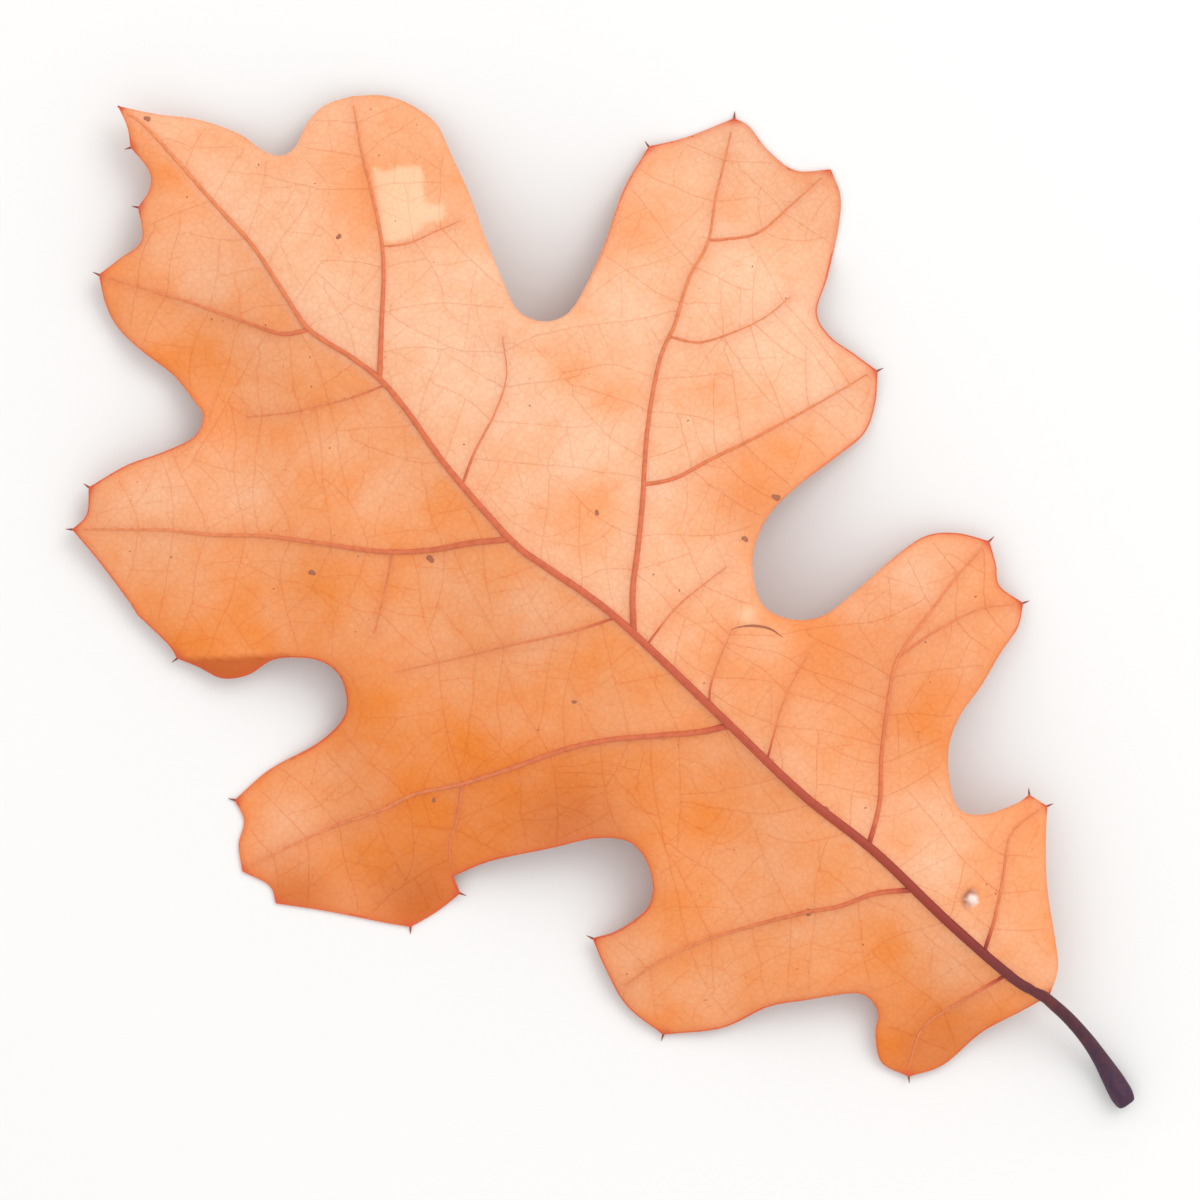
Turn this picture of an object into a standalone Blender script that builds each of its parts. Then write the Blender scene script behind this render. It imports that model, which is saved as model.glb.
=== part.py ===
"""A dry autumn oak leaf, picked with its stalk and lying with its paler, ribbed lower side up.

Metres, +Z up. The midrib runs along +Y to the end tooth, +X is to the right of it seen from above, and
the leaf stands on Z = 0 with the origin under the middle of its box. It grew as one piece, so it is one
solid: a lobed blade with raised ribs, and a round stalk fused into its base.

Points are chosen by hand on the leaf's own plan: (0, 0) is where the blade meets the stalk, (0, 152) is the
end tooth, and a third number is a height over the surface. One step is a millimetre at this blade length.
"""

import bmesh
import bpy
import numpy as np
from mathutils.geometry import delaunay_2d_cdt

BLADE_LENGTH = 0.152  # blade base to end tooth
UNIT = BLADE_LENGTH / 152
BLADE_THICKNESS = 0.0007  # thicker than life, so that the blade stays a sound solid
STALK_RADIUS = 0.00095
PLAN_MIDDLE = (-1.25 * UNIT, 67.89 * UNIT)  # the middle of the leaf's box
MARGIN_STEP = 2.2 * UNIT
RIB_STEP = 2.6 * UNIT
LATTICE_STEP = 3.5 * UNIT
RIB_FOOT_GAP = 0.15 * UNIT
CLEAR_OF_LINES = 1.3 * UNIT  # lattice points nearer than this to the margin or a rib are left out
FLOOR_BLEND = 0.8 * UNIT  # how gently a drooping lobe meets the surface that the leaf lies on
SAME_POINT = 0.000001
BLADE_COLOUR = (0.956, 0.397, 0.144, 1.0)

# The margin, up the left side and down the right, as smooth stretches between sharp tooth tips.
MARGIN = [
    # base and the small left lobe beside it
    [(0, 0), (-3.5, 1), (-8.5, 2.5), (-14.5, 3), (-18.5, 5)],
    [(-18.5, 5), (-19.5, 8.5), (-17.5, 11.5), (-15.5, 13), (-15, 15.5), (-16.5, 17.5), (-20.5, 20.5), (-24, 23),
     (-29.5, 25), (-35, 29.5)],
    # lower left lobe
    [(-35, 29.5), (-35.5, 35), (-34, 40), (-32.5, 43.5)],
    [(-32.5, 43.5), (-29.5, 42), (-25, 41.5), (-22, 44), (-21, 48), (-23.5, 51.5), (-28, 54.5), (-34, 58.5),
     (-38.5, 60.5)],
    # long left lobe
    [(-38.5, 60.5), (-39.5, 58.5)],
    [(-39.5, 58.5), (-43, 59), (-46.5, 60)],
    [(-46.5, 60), (-48.5, 63), (-52, 68.5), (-55.5, 73.5)],
    [(-55.5, 73.5), (-54.5, 75.5), (-55.5, 79)],
    [(-55.5, 79), (-53.5, 81.5), (-51, 83), (-50, 85.5)],
    [(-50, 85.5), (-44.5, 85), (-38, 83), (-33.5, 83), (-31, 85.5), (-30.5, 88), (-31.5, 90.5), (-34.5, 93.5),
     (-38, 94.5), (-40.5, 96.5), (-41.5, 99.5), (-42.5, 102)],
    # upper left lobe
    [(-42.5, 102), (-42, 104), (-42, 109)],
    [(-42, 109), (-41.5, 111), (-40.5, 117), (-40, 121.5)],
    [(-40, 121.5), (-37.5, 121.5), (-35, 123.5)],
    [(-35, 123.5), (-30, 122), (-26, 120), (-22, 118.5), (-19.5, 119.5), (-19, 121.5), (-18.5, 125.5), (-19, 130),
     (-19, 134), (-18, 137), (-16, 140)],
    # end lobe
    [(-16, 140), (-13, 139.5), (-9.5, 139), (-7, 142)],
    [(-7, 142), (-4.5, 142.5), (-3, 144), (-2.5, 147.5)],
    [(-2.5, 147.5), (-1, 149.5), (0, 152)],
    [(0, 152), (2.5, 148), (5.5, 144), (7.5, 139.5), (8, 136), (9, 134), (11, 133.5), (14, 134.5), (17, 134.5),
     (20, 133)],
    # upper right lobe and the deep bay below it
    [(20, 133), (22.5, 130.5), (24, 127.5), (24.5, 123.5), (23, 119.5), (21, 114.5), (18.5, 109.5), (16.5, 105),
     (15, 101), (16, 98), (18.5, 96.5), (22, 97), (27.5, 99), (34, 102), (40, 103.5)],
    # long right lobe
    [(40, 103.5), (44, 101), (49.5, 98.5)],
    [(49.5, 98.5), (50, 96.5), (49.5, 93), (50, 89), (53, 86)],
    [(53, 86), (51.5, 83), (48.5, 80.5), (43.5, 77.5), (39.5, 75.5), (38.5, 72.5), (39, 69), (39.5, 65.5)],
    [(39.5, 65.5), (36.5, 63), (33, 61.5), (28.5, 62)],
    [(28.5, 62), (22.5, 63), (17.5, 63), (13, 61), (10, 57), (10.5, 53.5), (13.5, 50.5), (18.5, 49.5), (24, 49),
     (29, 48), (32, 45.5), (34, 42)],
    # lower right lobe
    [(34, 42), (32.5, 39.5), (31, 37.5), (31.5, 34)],
    [(31.5, 34), (29, 32.5), (25.5, 32), (21, 31), (16.5, 30.5), (13, 29), (10, 26), (8.5, 23), (10, 20.5),
     (13.5, 18.5), (15.5, 18)],
    [(15.5, 18), (16, 15.5)],
    # right side of the base
    [(16, 15.5), (13, 13), (9, 9), (5.5, 4.5), (3, 1.5), (0, 0)],
]

# Each rib: half width and height over the blade where it starts, both falling to END_SHARE of that at its
# end, then its route from the thicker rib to the margin.
END_SHARE = 0.35
RIBS = {
    "midrib": (1.1, 1.1, [(-0.5, 1), (-1.5, 4.5), (-2, 15), (-2, 27), (-3, 38), (-3, 50), (-3, 65.5), (-3.5, 72),
                          (-4.5, 78), (-5, 83), (-4, 94), (-2.5, 102), (-2, 107), (-2.5, 111.5), (-3.5, 117),
                          (-2.5, 122), (-1, 128.5), (-0.5, 135), (0, 141), (0.5, 147.5), (0.2, 150.5)]),
    "upper_right": (0.8, 0.6, [(-2, 107), (2.5, 111), (7.5, 115.5), (10.5, 119), (13.5, 123.5), (16, 127.5),
                               (19.3, 132)]),
    "long_right": (0.9, 0.7, [(-3, 65), (0.5, 68.5), (4.5, 71.5), (9, 75), (12.5, 78), (17, 81.5), (22.5, 85),
                              (26.5, 86.5), (31.5, 89), (36.5, 90.5), (41, 93.5), (44.5, 95.5), (48, 97.6)]),
    "long_right_low": (0.7, 0.45, [(10.5, 76), (13.5, 74), (18, 72.5), (23.5, 70.5), (31.5, 68), (38.3, 66.1)]),
    "long_right_mid": (0.6, 0.35, [(25, 86), (27, 83), (30.5, 81), (34.5, 79.5), (38.5, 79)]),
    "long_right_end": (0.6, 0.35, [(36, 90.5), (38, 89), (41.5, 87), (46.5, 86.5), (51.5, 86.1)]),
    "lower_right": (0.8, 0.6, [(-2, 28), (2.5, 30.5), (6.5, 34), (10.5, 37), (15, 40), (18.5, 41), (23.5, 41.5),
                               (28.5, 42), (32.8, 42)]),
    "lower_right_end": (0.6, 0.35, [(17, 40.5), (21.5, 39.5), (27, 37.5), (30.6, 34.7)]),
    "base_right": (0.6, 0.4, [(-1.5, 9.5), (2.5, 11.5), (6.5, 14), (10.5, 16.5), (15, 16)]),
    "end_left": (0.7, 0.5, [(-3.5, 117), (-6, 119), (-7.5, 122), (-9, 125.5), (-11, 130), (-13, 134),
                            (-15.4, 138.8)]),
    "upper_left": (0.9, 0.7, [(-5, 83), (-8.5, 86), (-12.5, 89), (-16.5, 93), (-20.5, 98.5), (-24.5, 104),
                              (-29, 109), (-32.5, 113.5), (-39, 120.5)]),
    "long_left": (0.9, 0.7, [(-3, 49.5), (-6, 51.5), (-10, 55), (-14, 58.5), (-18.5, 61.5), (-24.5, 64.5),
                             (-30, 67.5), (-34.5, 70.5), (-38.5, 72), (-43.5, 74.5), (-49.5, 77), (-54, 78.5)]),
    "long_left_low": (0.6, 0.35, [(-29.5, 67.5), (-33, 65), (-36, 63.5), (-38, 61.3)]),
    "lower_left": (0.8, 0.6, [(-2, 20.5), (-5.5, 23.5), (-9.5, 25.5), (-13, 28), (-18, 31), (-23.5, 34), (-29, 36),
                              (-33.8, 36.9)]),
    "base_left": (0.7, 0.45, [(-1.5, 5.5), (-7.5, 7), (-13, 8), (-17.7, 5.8)]),
    "between_left": (0.5, 0.25, [(-3.5, 68), (-8, 70.5), (-14, 74.5), (-19.5, 78), (-25.5, 82)]),
    "bay_right": (0.5, 0.25, [(-4, 91.5), (-0.5, 93), (4.5, 94.5), (8.5, 96.5), (11.5, 100)]),
}

# Heights of the underside over the surface: a roof whose ridge is the midrib, with lobes that droop. The
# long left lobe and the long right one come down below zero here, so they lie flat on the surface.
HEIGHTS = [
    # down the midrib
    (-0.5, -1, 5.2), (-1.8, 10, 8.6), (-2, 27, 12.2), (-3, 44, 14.6), (-3, 62, 16), (-4.5, 78, 16.2),
    (-3.5, 96, 14.8), (-2.5, 112, 12), (-1.5, 128, 8.4), (0, 141, 5.6), (0, 152, 4.4),
    # left side, from the base up
    (-10, 7, 4.2), (-18.5, 5, 2.4), (-18, 10, 3.2), (-15, 16, 5.6), (-9.5, 25.5, 9.6), (-20, 32, 7.2),
    (-29, 25.5, 3.4), (-35, 32, 2.2), (-29, 36, 4), (-33, 43, 2.6), (-22, 45, 7.4), (-14, 47, 10.2),
    (-14, 58.5, 12.2), (-24.5, 64.5, 9.4), (-30, 57, 6.2), (-39.5, 59, 1.9), (-37, 71.5, 4.2), (-46, 61, -0.2),
    (-47, 76, -0.9), (-55, 76, -2.4), (-50, 84.5, -1), (-42, 84, 1.4), (-32, 84, 6), (-19, 80, 11),
    (-12.5, 89, 12.9), (-20.5, 98.5, 10.2), (-31, 91, 6.4), (-41, 99, 3), (-29, 109, 6.8), (-42, 108, 2.4),
    (-39.5, 121, 3.6), (-28, 120.5, 4.2), (-19, 119, 5.6), (-12, 110, 9.3), (-10, 127, 6.6), (-18.5, 131, 3.2),
    (-15.5, 139, 3.4), (-7, 141, 4.6),
    # right side, from the base up
    (7, 7, 6.4), (15.5, 16.5, 5.6), (9, 23, 9.2), (10.5, 37, 11.8), (21, 31.5, 5.4), (31.5, 34, 2.2),
    (22, 41.3, 7), (33.5, 42, 2.4), (27, 48, 4.8), (13.5, 50.5, 10.8), (11, 58, 12.9), (9, 75, 14.4),
    (20, 62.7, 9.2), (31, 62, 4.8), (39, 66, 2), (23.5, 70.5, 10), (22.5, 85, 11.2), (39, 74, 4), (36.5, 90.5, 4.4),
    (46, 79.5, 1), (52.5, 86, -2.2), (43, 94, 0.4), (49, 92, -1.8), (49, 98.5, -1.2), (40, 103, 2.6), (27, 99, 7.4),
    (15.5, 100, 11.2), (8, 100, 13), (8.5, 116, 9.8), (20, 112, 7.6), (24.5, 123, 4), (16, 127.5, 5.2),
    (19.5, 133, 3.4), (9, 134, 4.8),
]

# Slow waves over the blade: height, the wavelengths along X and Y, and the angle where they start.
WAVES = [
    (0.45, 47, 61, 0.6),
    (0.3, 31, -38, 2.1),
    (0.2, -22, 27, 4.4),
]

# The stalk's route and its radius as a share of STALK_RADIUS: it starts inside the midrib, leaves the blade
# at the base, and ends in the swollen foot that broke from the twig.
STALK = [
    ((-1.9, 11, 9.6), 0.55),
    ((-1.5, 7, 8.2), 0.8),
    ((-1, 3.5, 7.1), 0.98),
    ((-0.5, 0, 5.8), 1.05),
    ((-0.4, -3.5, 4.5), 1.0),
    ((-0.7, -7, 3.2), 1.0),
    ((-1.3, -10, 2.2), 1.15),
    ((-2, -12.6, 1.62), 1.5),
    ((-2.6, -14.6, 1.5), 1.58),
    ((-3, -15.9, 1.3), 1.3),
]


def smooth_line(points, step):
    """Points at most step apart on a curve through the given ones, each span a cubic whose end slopes are
    half the way from the point before to the point after."""
    p = np.asarray(points, float) * UNIT
    slopes = np.gradient(p, axis=0)
    line = [p[:1]]
    for a, b, slope_a, slope_b in zip(p[:-1], p[1:], slopes[:-1], slopes[1:]):
        count = max(1, round(float(np.linalg.norm(b - a)) / step))
        t = np.linspace(0, 1, count + 1)[1:, None]
        line.append(
            (2 * t**3 - 3 * t**2 + 1) * a
            + (t**3 - 2 * t**2 + t) * slope_a
            + (3 * t**2 - 2 * t**3) * b
            + (t**3 - t**2) * slope_b
        )
    return np.concatenate(line)


def margin_loop():
    """The closed margin, without a repeat of its first point."""
    return np.concatenate([smooth_line(stretch, MARGIN_STEP)[:-1] for stretch in MARGIN])


def nearest_on_line(points, line):
    """For each point, its distance to the line and how far along the line, 0 to 1, the nearest spot is."""
    a, b = line[:-1], line[1:]
    span = b - a
    length = np.linalg.norm(span, axis=1)
    t = ((points[:, None] - a) * span).sum(2) / length**2
    t = np.clip(t, 0, 1)
    gaps = np.linalg.norm(points[:, None] - a - t[..., None] * span, axis=2)
    pick = gaps.argmin(axis=1)
    row = np.arange(len(points))
    start = np.concatenate([[0], np.cumsum(length)[:-1]])
    along = (start[pick] + t[row, pick] * length[pick]) / length.sum()
    return gaps[row, pick], along


def inside(points, loop):
    """True where a ray to the right of the point crosses the closed loop an odd number of times."""
    a, b = loop, np.roll(loop, -1, axis=0)
    y = points[:, 1, None]
    spans = (a[:, 1] > y) != (b[:, 1] > y)
    rise = np.where(b[:, 1] == a[:, 1], 1, b[:, 1] - a[:, 1])
    crossing = a[:, 0] + (y - a[:, 1]) / rise * (b[:, 0] - a[:, 0])
    return ((spans & (points[:, 0, None] < crossing)).sum(axis=1) % 2).astype(bool)


def bending(distance):
    """The height of a thin plate pushed up at one point: distance squared times its logarithm."""
    return distance**2 * np.log(np.maximum(distance, SAME_POINT))


def blade_height(points):
    """Height of the underside: the thin plate through HEIGHTS, plus WAVES, laid softly on the surface."""
    controls = np.array(HEIGHTS) * UNIT
    plan = controls[:, :2]
    count = len(plan)
    system = np.zeros((count + 3, count + 3))
    system[:count, :count] = bending(np.linalg.norm(plan[:, None] - plan, axis=2))
    system[:count, count] = system[count, :count] = 1
    system[:count, count + 1 :] = plan
    system[count + 1 :, :count] = plan.T
    pull = np.linalg.solve(system, np.concatenate([controls[:, 2], np.zeros(3)]))
    raw = (
        bending(np.linalg.norm(points[:, None] - plan, axis=2)) @ pull[:count]
        + pull[count]
        + points @ pull[count + 1 :]
    )
    for height, wave_x, wave_y, start in WAVES:
        turn = points[:, 0] / (wave_x * UNIT) + points[:, 1] / (wave_y * UNIT)
        raw += height * UNIT * np.sin(2 * np.pi * turn + start)
    blend = (raw + FLOOR_BLEND) ** 2 / (4 * FLOOR_BLEND)
    return np.where(raw < -FLOOR_BLEND, 0, np.where(raw < FLOOR_BLEND, blend, raw))


def rib_height(points):
    """Height of the ribs over the blade: each is a ridge that falls evenly to nothing at its half width."""
    height = np.zeros(len(points))
    for half_width, crest, route in RIBS.values():
        gap, along = nearest_on_line(points, smooth_line(route, RIB_STEP))
        share = 1 - (1 - END_SHARE) * along
        height = np.maximum(height, crest * UNIT * share * (1 - gap / (half_width * UNIT * share)))
    return height


def plan_points(margin):
    """Points for the blade's triangles: the margin, each rib's crest and feet, and a lattice between."""
    found = margin
    crest_edges = []
    for half_width, _, route in RIBS.values():
        crest = smooth_line(route, RIB_STEP)
        gap, _ = nearest_on_line(crest, np.concatenate([margin, margin[:1]]))
        crest = crest[inside(crest, margin) & (gap > half_width * UNIT * END_SHARE)]
        start = len(found)
        crest_edges += [(start + i, start + i + 1) for i in range(len(crest) - 1)]
        found = np.concatenate([found, crest])
    for half_width, _, route in RIBS.values():
        crest = smooth_line(route, RIB_STEP)
        share = 1 - (1 - END_SHARE) * np.linspace(0, 1, len(crest))[:, None]
        along = np.gradient(crest, axis=0)
        along /= np.linalg.norm(along, axis=1)[:, None]
        side = np.stack([-along[:, 1], along[:, 0]], axis=1) * half_width * UNIT * share
        feet = np.concatenate([crest + side, crest - side])
        found = add_spaced(found, feet, margin, RIB_FOOT_GAP)
    low, high = margin.min(axis=0), margin.max(axis=0)
    rows = np.arange(low[1], high[1], LATTICE_STEP * np.sqrt(3) / 2)
    columns = np.arange(low[0], high[0], LATTICE_STEP)
    x, y = np.meshgrid(columns, rows)
    x[1::2] += LATTICE_STEP / 2
    lattice = np.stack([x.ravel(), y.ravel()], axis=1)
    return add_spaced(found, lattice, margin, CLEAR_OF_LINES), crest_edges


def add_spaced(found, more, margin, gap):
    """found, with each point of more that lies inside the margin and at least gap from every one of found."""
    more = more[inside(more, margin)]
    nearest = np.linalg.norm(more[:, None] - found, axis=2).min(axis=1)
    return np.concatenate([found, more[nearest > gap]])


def make_material():
    """Dry, matt leaf blade."""
    material = bpy.data.materials.new("dry_leaf")
    material.use_nodes = True
    shader = material.node_tree.nodes["Principled BSDF"]
    shader.inputs["Base Color"].default_value = BLADE_COLOUR
    shader.inputs["Roughness"].default_value = 0.65
    material.diffuse_color = BLADE_COLOUR
    return material


def make_blade(collection, material):
    """The blade's underside as an open surface of triangles, thickened upwards, more so on the ribs."""
    margin = margin_loop()
    points, crest_edges = plan_points(margin)
    outline = [(i, (i + 1) % len(margin)) for i in range(len(margin))]
    made = delaunay_2d_cdt([tuple(p) for p in points], outline + crest_edges, [], 1, SAME_POINT)
    plan = np.array([tuple(p) for p in made[0]])
    height = blade_height(plan)
    bm = bmesh.new()
    corners = [
        bm.verts.new((x - PLAN_MIDDLE[0], y - PLAN_MIDDLE[1], z)) for (x, y), z in zip(plan, height)
    ]
    for face in made[2]:
        bm.faces.new([corners[i] for i in face])
    bmesh.ops.recalc_face_normals(bm, faces=bm.faces)
    if sum(face.normal.z for face in bm.faces) < 0:
        bmesh.ops.reverse_faces(bm, faces=bm.faces)
    mesh = bpy.data.meshes.new("oak_leaf")
    bm.to_mesh(mesh)
    bm.free()
    leaf = bpy.data.objects.new("oak_leaf", mesh)
    collection.objects.link(leaf)
    mesh.materials.append(material)
    rise = rib_height(plan)
    ribs = leaf.vertex_groups.new(name="ribs")
    for index, share in enumerate(rise / rise.max()):
        ribs.add([index], float(share), "REPLACE")
    solidify = leaf.modifiers.new("thickness", "SOLIDIFY")
    solidify.thickness = BLADE_THICKNESS + float(rise.max())
    solidify.offset = 1
    solidify.vertex_group = ribs.name
    solidify.thickness_vertex_group = BLADE_THICKNESS / solidify.thickness
    return leaf


def make_stalk(collection, material):
    """The stalk, a tapered round bar as one closed mesh."""
    curve = bpy.data.curves.new("stalk", "CURVE")
    curve.dimensions = "3D"
    curve.bevel_depth = STALK_RADIUS
    curve.bevel_resolution = 3
    curve.use_fill_caps = True
    spline = curve.splines.new("POLY")
    spline.points.add(len(STALK) - 1)
    for point, ((x, y, z), share) in zip(spline.points, STALK):
        point.co = (x * UNIT - PLAN_MIDDLE[0], y * UNIT - PLAN_MIDDLE[1], z * UNIT, 1)
        point.radius = share
    route = bpy.data.objects.new("stalk_route", curve)
    collection.objects.link(route)
    bpy.context.view_layer.update()
    mesh = bpy.data.meshes.new_from_object(route.evaluated_get(bpy.context.evaluated_depsgraph_get()))
    bpy.data.objects.remove(route)
    bm = bmesh.new()
    bm.from_mesh(mesh)
    bmesh.ops.remove_doubles(bm, verts=bm.verts, dist=SAME_POINT)
    bmesh.ops.triangulate(bm, faces=bm.faces)
    bmesh.ops.recalc_face_normals(bm, faces=bm.faces)
    bm.to_mesh(mesh)
    bm.free()
    mesh.materials.clear()
    mesh.materials.append(material)
    stalk = bpy.data.objects.new("stalk", mesh)
    collection.objects.link(stalk)
    stalk.hide_render = True
    stalk.display_type = "WIRE"
    return stalk


def new_collection(name):
    collection = bpy.data.collections.new(name)
    bpy.context.scene.collection.children.link(collection)
    return collection


for old in list(bpy.data.objects):
    bpy.data.objects.remove(old)

material = make_material()
leaf = make_blade(new_collection("autumn_oak_leaf"), material)
stalk = make_stalk(new_collection("joined_in"), material)
join = leaf.modifiers.new("stalk", "BOOLEAN")
join.operation = "UNION"
join.object = stalk
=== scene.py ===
"""A dry autumn oak leaf, lying with its paler, ribbed lower side up and seen from straight above.

The blade, its ribs, its net of veins and its edge are surfaces worked out on the leaf's own plan, where
(0, 0) is where the blade meets the stalk and (0, 152) is the end tooth. A third number is a height over
the surface that the leaf lies on. One step of the plan is a millimetre at this blade length.
"""

import bpy
import numpy as np
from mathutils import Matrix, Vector
from mathutils.geometry import delaunay_2d_cdt


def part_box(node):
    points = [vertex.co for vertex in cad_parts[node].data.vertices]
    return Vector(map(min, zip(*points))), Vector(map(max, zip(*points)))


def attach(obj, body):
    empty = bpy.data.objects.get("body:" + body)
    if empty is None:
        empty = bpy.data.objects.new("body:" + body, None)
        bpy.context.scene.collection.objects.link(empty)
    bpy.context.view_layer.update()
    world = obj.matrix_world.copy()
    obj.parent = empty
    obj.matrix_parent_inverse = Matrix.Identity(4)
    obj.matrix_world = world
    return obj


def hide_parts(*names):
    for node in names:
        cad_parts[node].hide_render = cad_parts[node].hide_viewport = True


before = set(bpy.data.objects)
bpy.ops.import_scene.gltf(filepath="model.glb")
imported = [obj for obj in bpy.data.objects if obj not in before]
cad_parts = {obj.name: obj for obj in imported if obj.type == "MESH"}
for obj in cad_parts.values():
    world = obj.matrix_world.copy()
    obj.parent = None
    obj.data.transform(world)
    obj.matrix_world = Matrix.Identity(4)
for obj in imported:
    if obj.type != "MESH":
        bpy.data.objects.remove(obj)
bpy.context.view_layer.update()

BLADE_LENGTH = 0.152  # blade base to end tooth
UNIT = BLADE_LENGTH / 152
PLAN_MIDDLE = np.array([-1.25, 67.89]) * UNIT  # the middle of the leaf's box
MARGIN_STEP = 0.5 * UNIT
LINE_STEP = 0.35 * UNIT
LATTICE_STEP = 0.53 * UNIT
CLEAR_OF_EDGE = 0.3 * UNIT
FLOOR_BLEND = 0.8 * UNIT
SAME_POINT = 0.000001
MM = 0.001
BLADE_THICKNESS = 0.34 * MM
LIFT = 0.12 * MM  # the thin blade floats this far inside the thicker solid that it stands for
CHUNK = 4096  # points handled at once when distances are worked out

# The margin, up the left side and down the right, as smooth stretches between sharp tooth tips. Each one
# ends where the next one starts.
MARGIN = [
    # base and the small left lobe beside it
    [(0, 0), (-3.5, 1), (-8.5, 2.5), (-14.5, 3)],
    [(-18.5, 5), (-19.5, 8.5), (-17.5, 11.5), (-15.5, 13), (-15, 15.5), (-16.5, 17.5), (-20.5, 20.5),
     (-24, 23), (-29.5, 25)],
    # lower left lobe
    [(-35, 29.5), (-35.5, 35), (-34, 40)],
    [(-32.5, 43.5), (-29.5, 42), (-25, 41.5), (-22, 44), (-21, 48), (-23.5, 51.5), (-28, 54.5),
     (-34, 58.5)],
    # long left lobe
    [(-38.5, 60.5)],
    [(-39.5, 58.5), (-43, 59)],
    [(-46.5, 60), (-48.5, 63), (-52, 68.5)],
    [(-55.5, 73.5), (-54.5, 75.5)],
    [(-55.5, 79), (-53.5, 81.5), (-51, 83)],
    [(-50, 85.5), (-44.5, 85), (-38, 83), (-33.5, 83), (-31, 85.5), (-30.5, 88), (-31.5, 90.5),
     (-34.5, 93.5), (-38, 94.5), (-40.5, 96.5), (-41.5, 99.5)],
    # upper left lobe
    [(-42.5, 102), (-42, 104)],
    [(-42, 109), (-41.5, 111), (-40.5, 117)],
    [(-40, 121.5), (-37.5, 121.5)],
    [(-35, 123.5), (-30, 122), (-26, 120), (-22, 118.5), (-19.5, 119.5), (-19, 121.5), (-18.5, 125.5),
     (-19, 130), (-19, 134), (-18, 137)],
    # end lobe
    [(-16, 140), (-13, 139.5), (-9.5, 139)],
    [(-7, 142), (-4.5, 142.5), (-3, 144)],
    [(-2.5, 147.5), (-1, 149.5)],
    [(0, 152), (2.5, 148), (5.5, 144), (7.5, 139.5), (8, 136), (9, 134), (11, 133.5), (14, 134.5),
     (17, 134.5)],
    # upper right lobe and the deep bay below it
    [(20, 133), (22.5, 130.5), (24, 127.5), (24.5, 123.5), (23, 119.5), (21, 114.5), (18.5, 109.5),
     (16.5, 105), (15, 101), (16, 98), (18.5, 96.5), (22, 97), (27.5, 99), (34, 102)],
    # long right lobe
    [(40, 103.5), (44, 101)],
    [(49.5, 98.5), (50, 96.5), (49.5, 93), (50, 89)],
    [(53, 86), (51.5, 83), (48.5, 80.5), (43.5, 77.5), (39.5, 75.5), (38.5, 72.5), (39, 69)],
    [(39.5, 65.5), (36.5, 63), (33, 61.5)],
    [(28.5, 62), (22.5, 63), (17.5, 63), (13, 61), (10, 57), (10.5, 53.5), (13.5, 50.5), (18.5, 49.5),
     (24, 49), (29, 48), (32, 45.5)],
    # lower right lobe
    [(34, 42), (32.5, 39.5), (31, 37.5)],
    [(31.5, 34), (29, 32.5), (25.5, 32), (21, 31), (16.5, 30.5), (13, 29), (10, 26), (8.5, 23),
     (10, 20.5), (13.5, 18.5)],
    [(15.5, 18)],
    # right side of the base
    [(16, 15.5), (13, 13), (9, 9), (5.5, 4.5), (3, 1.5)],
]

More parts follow.
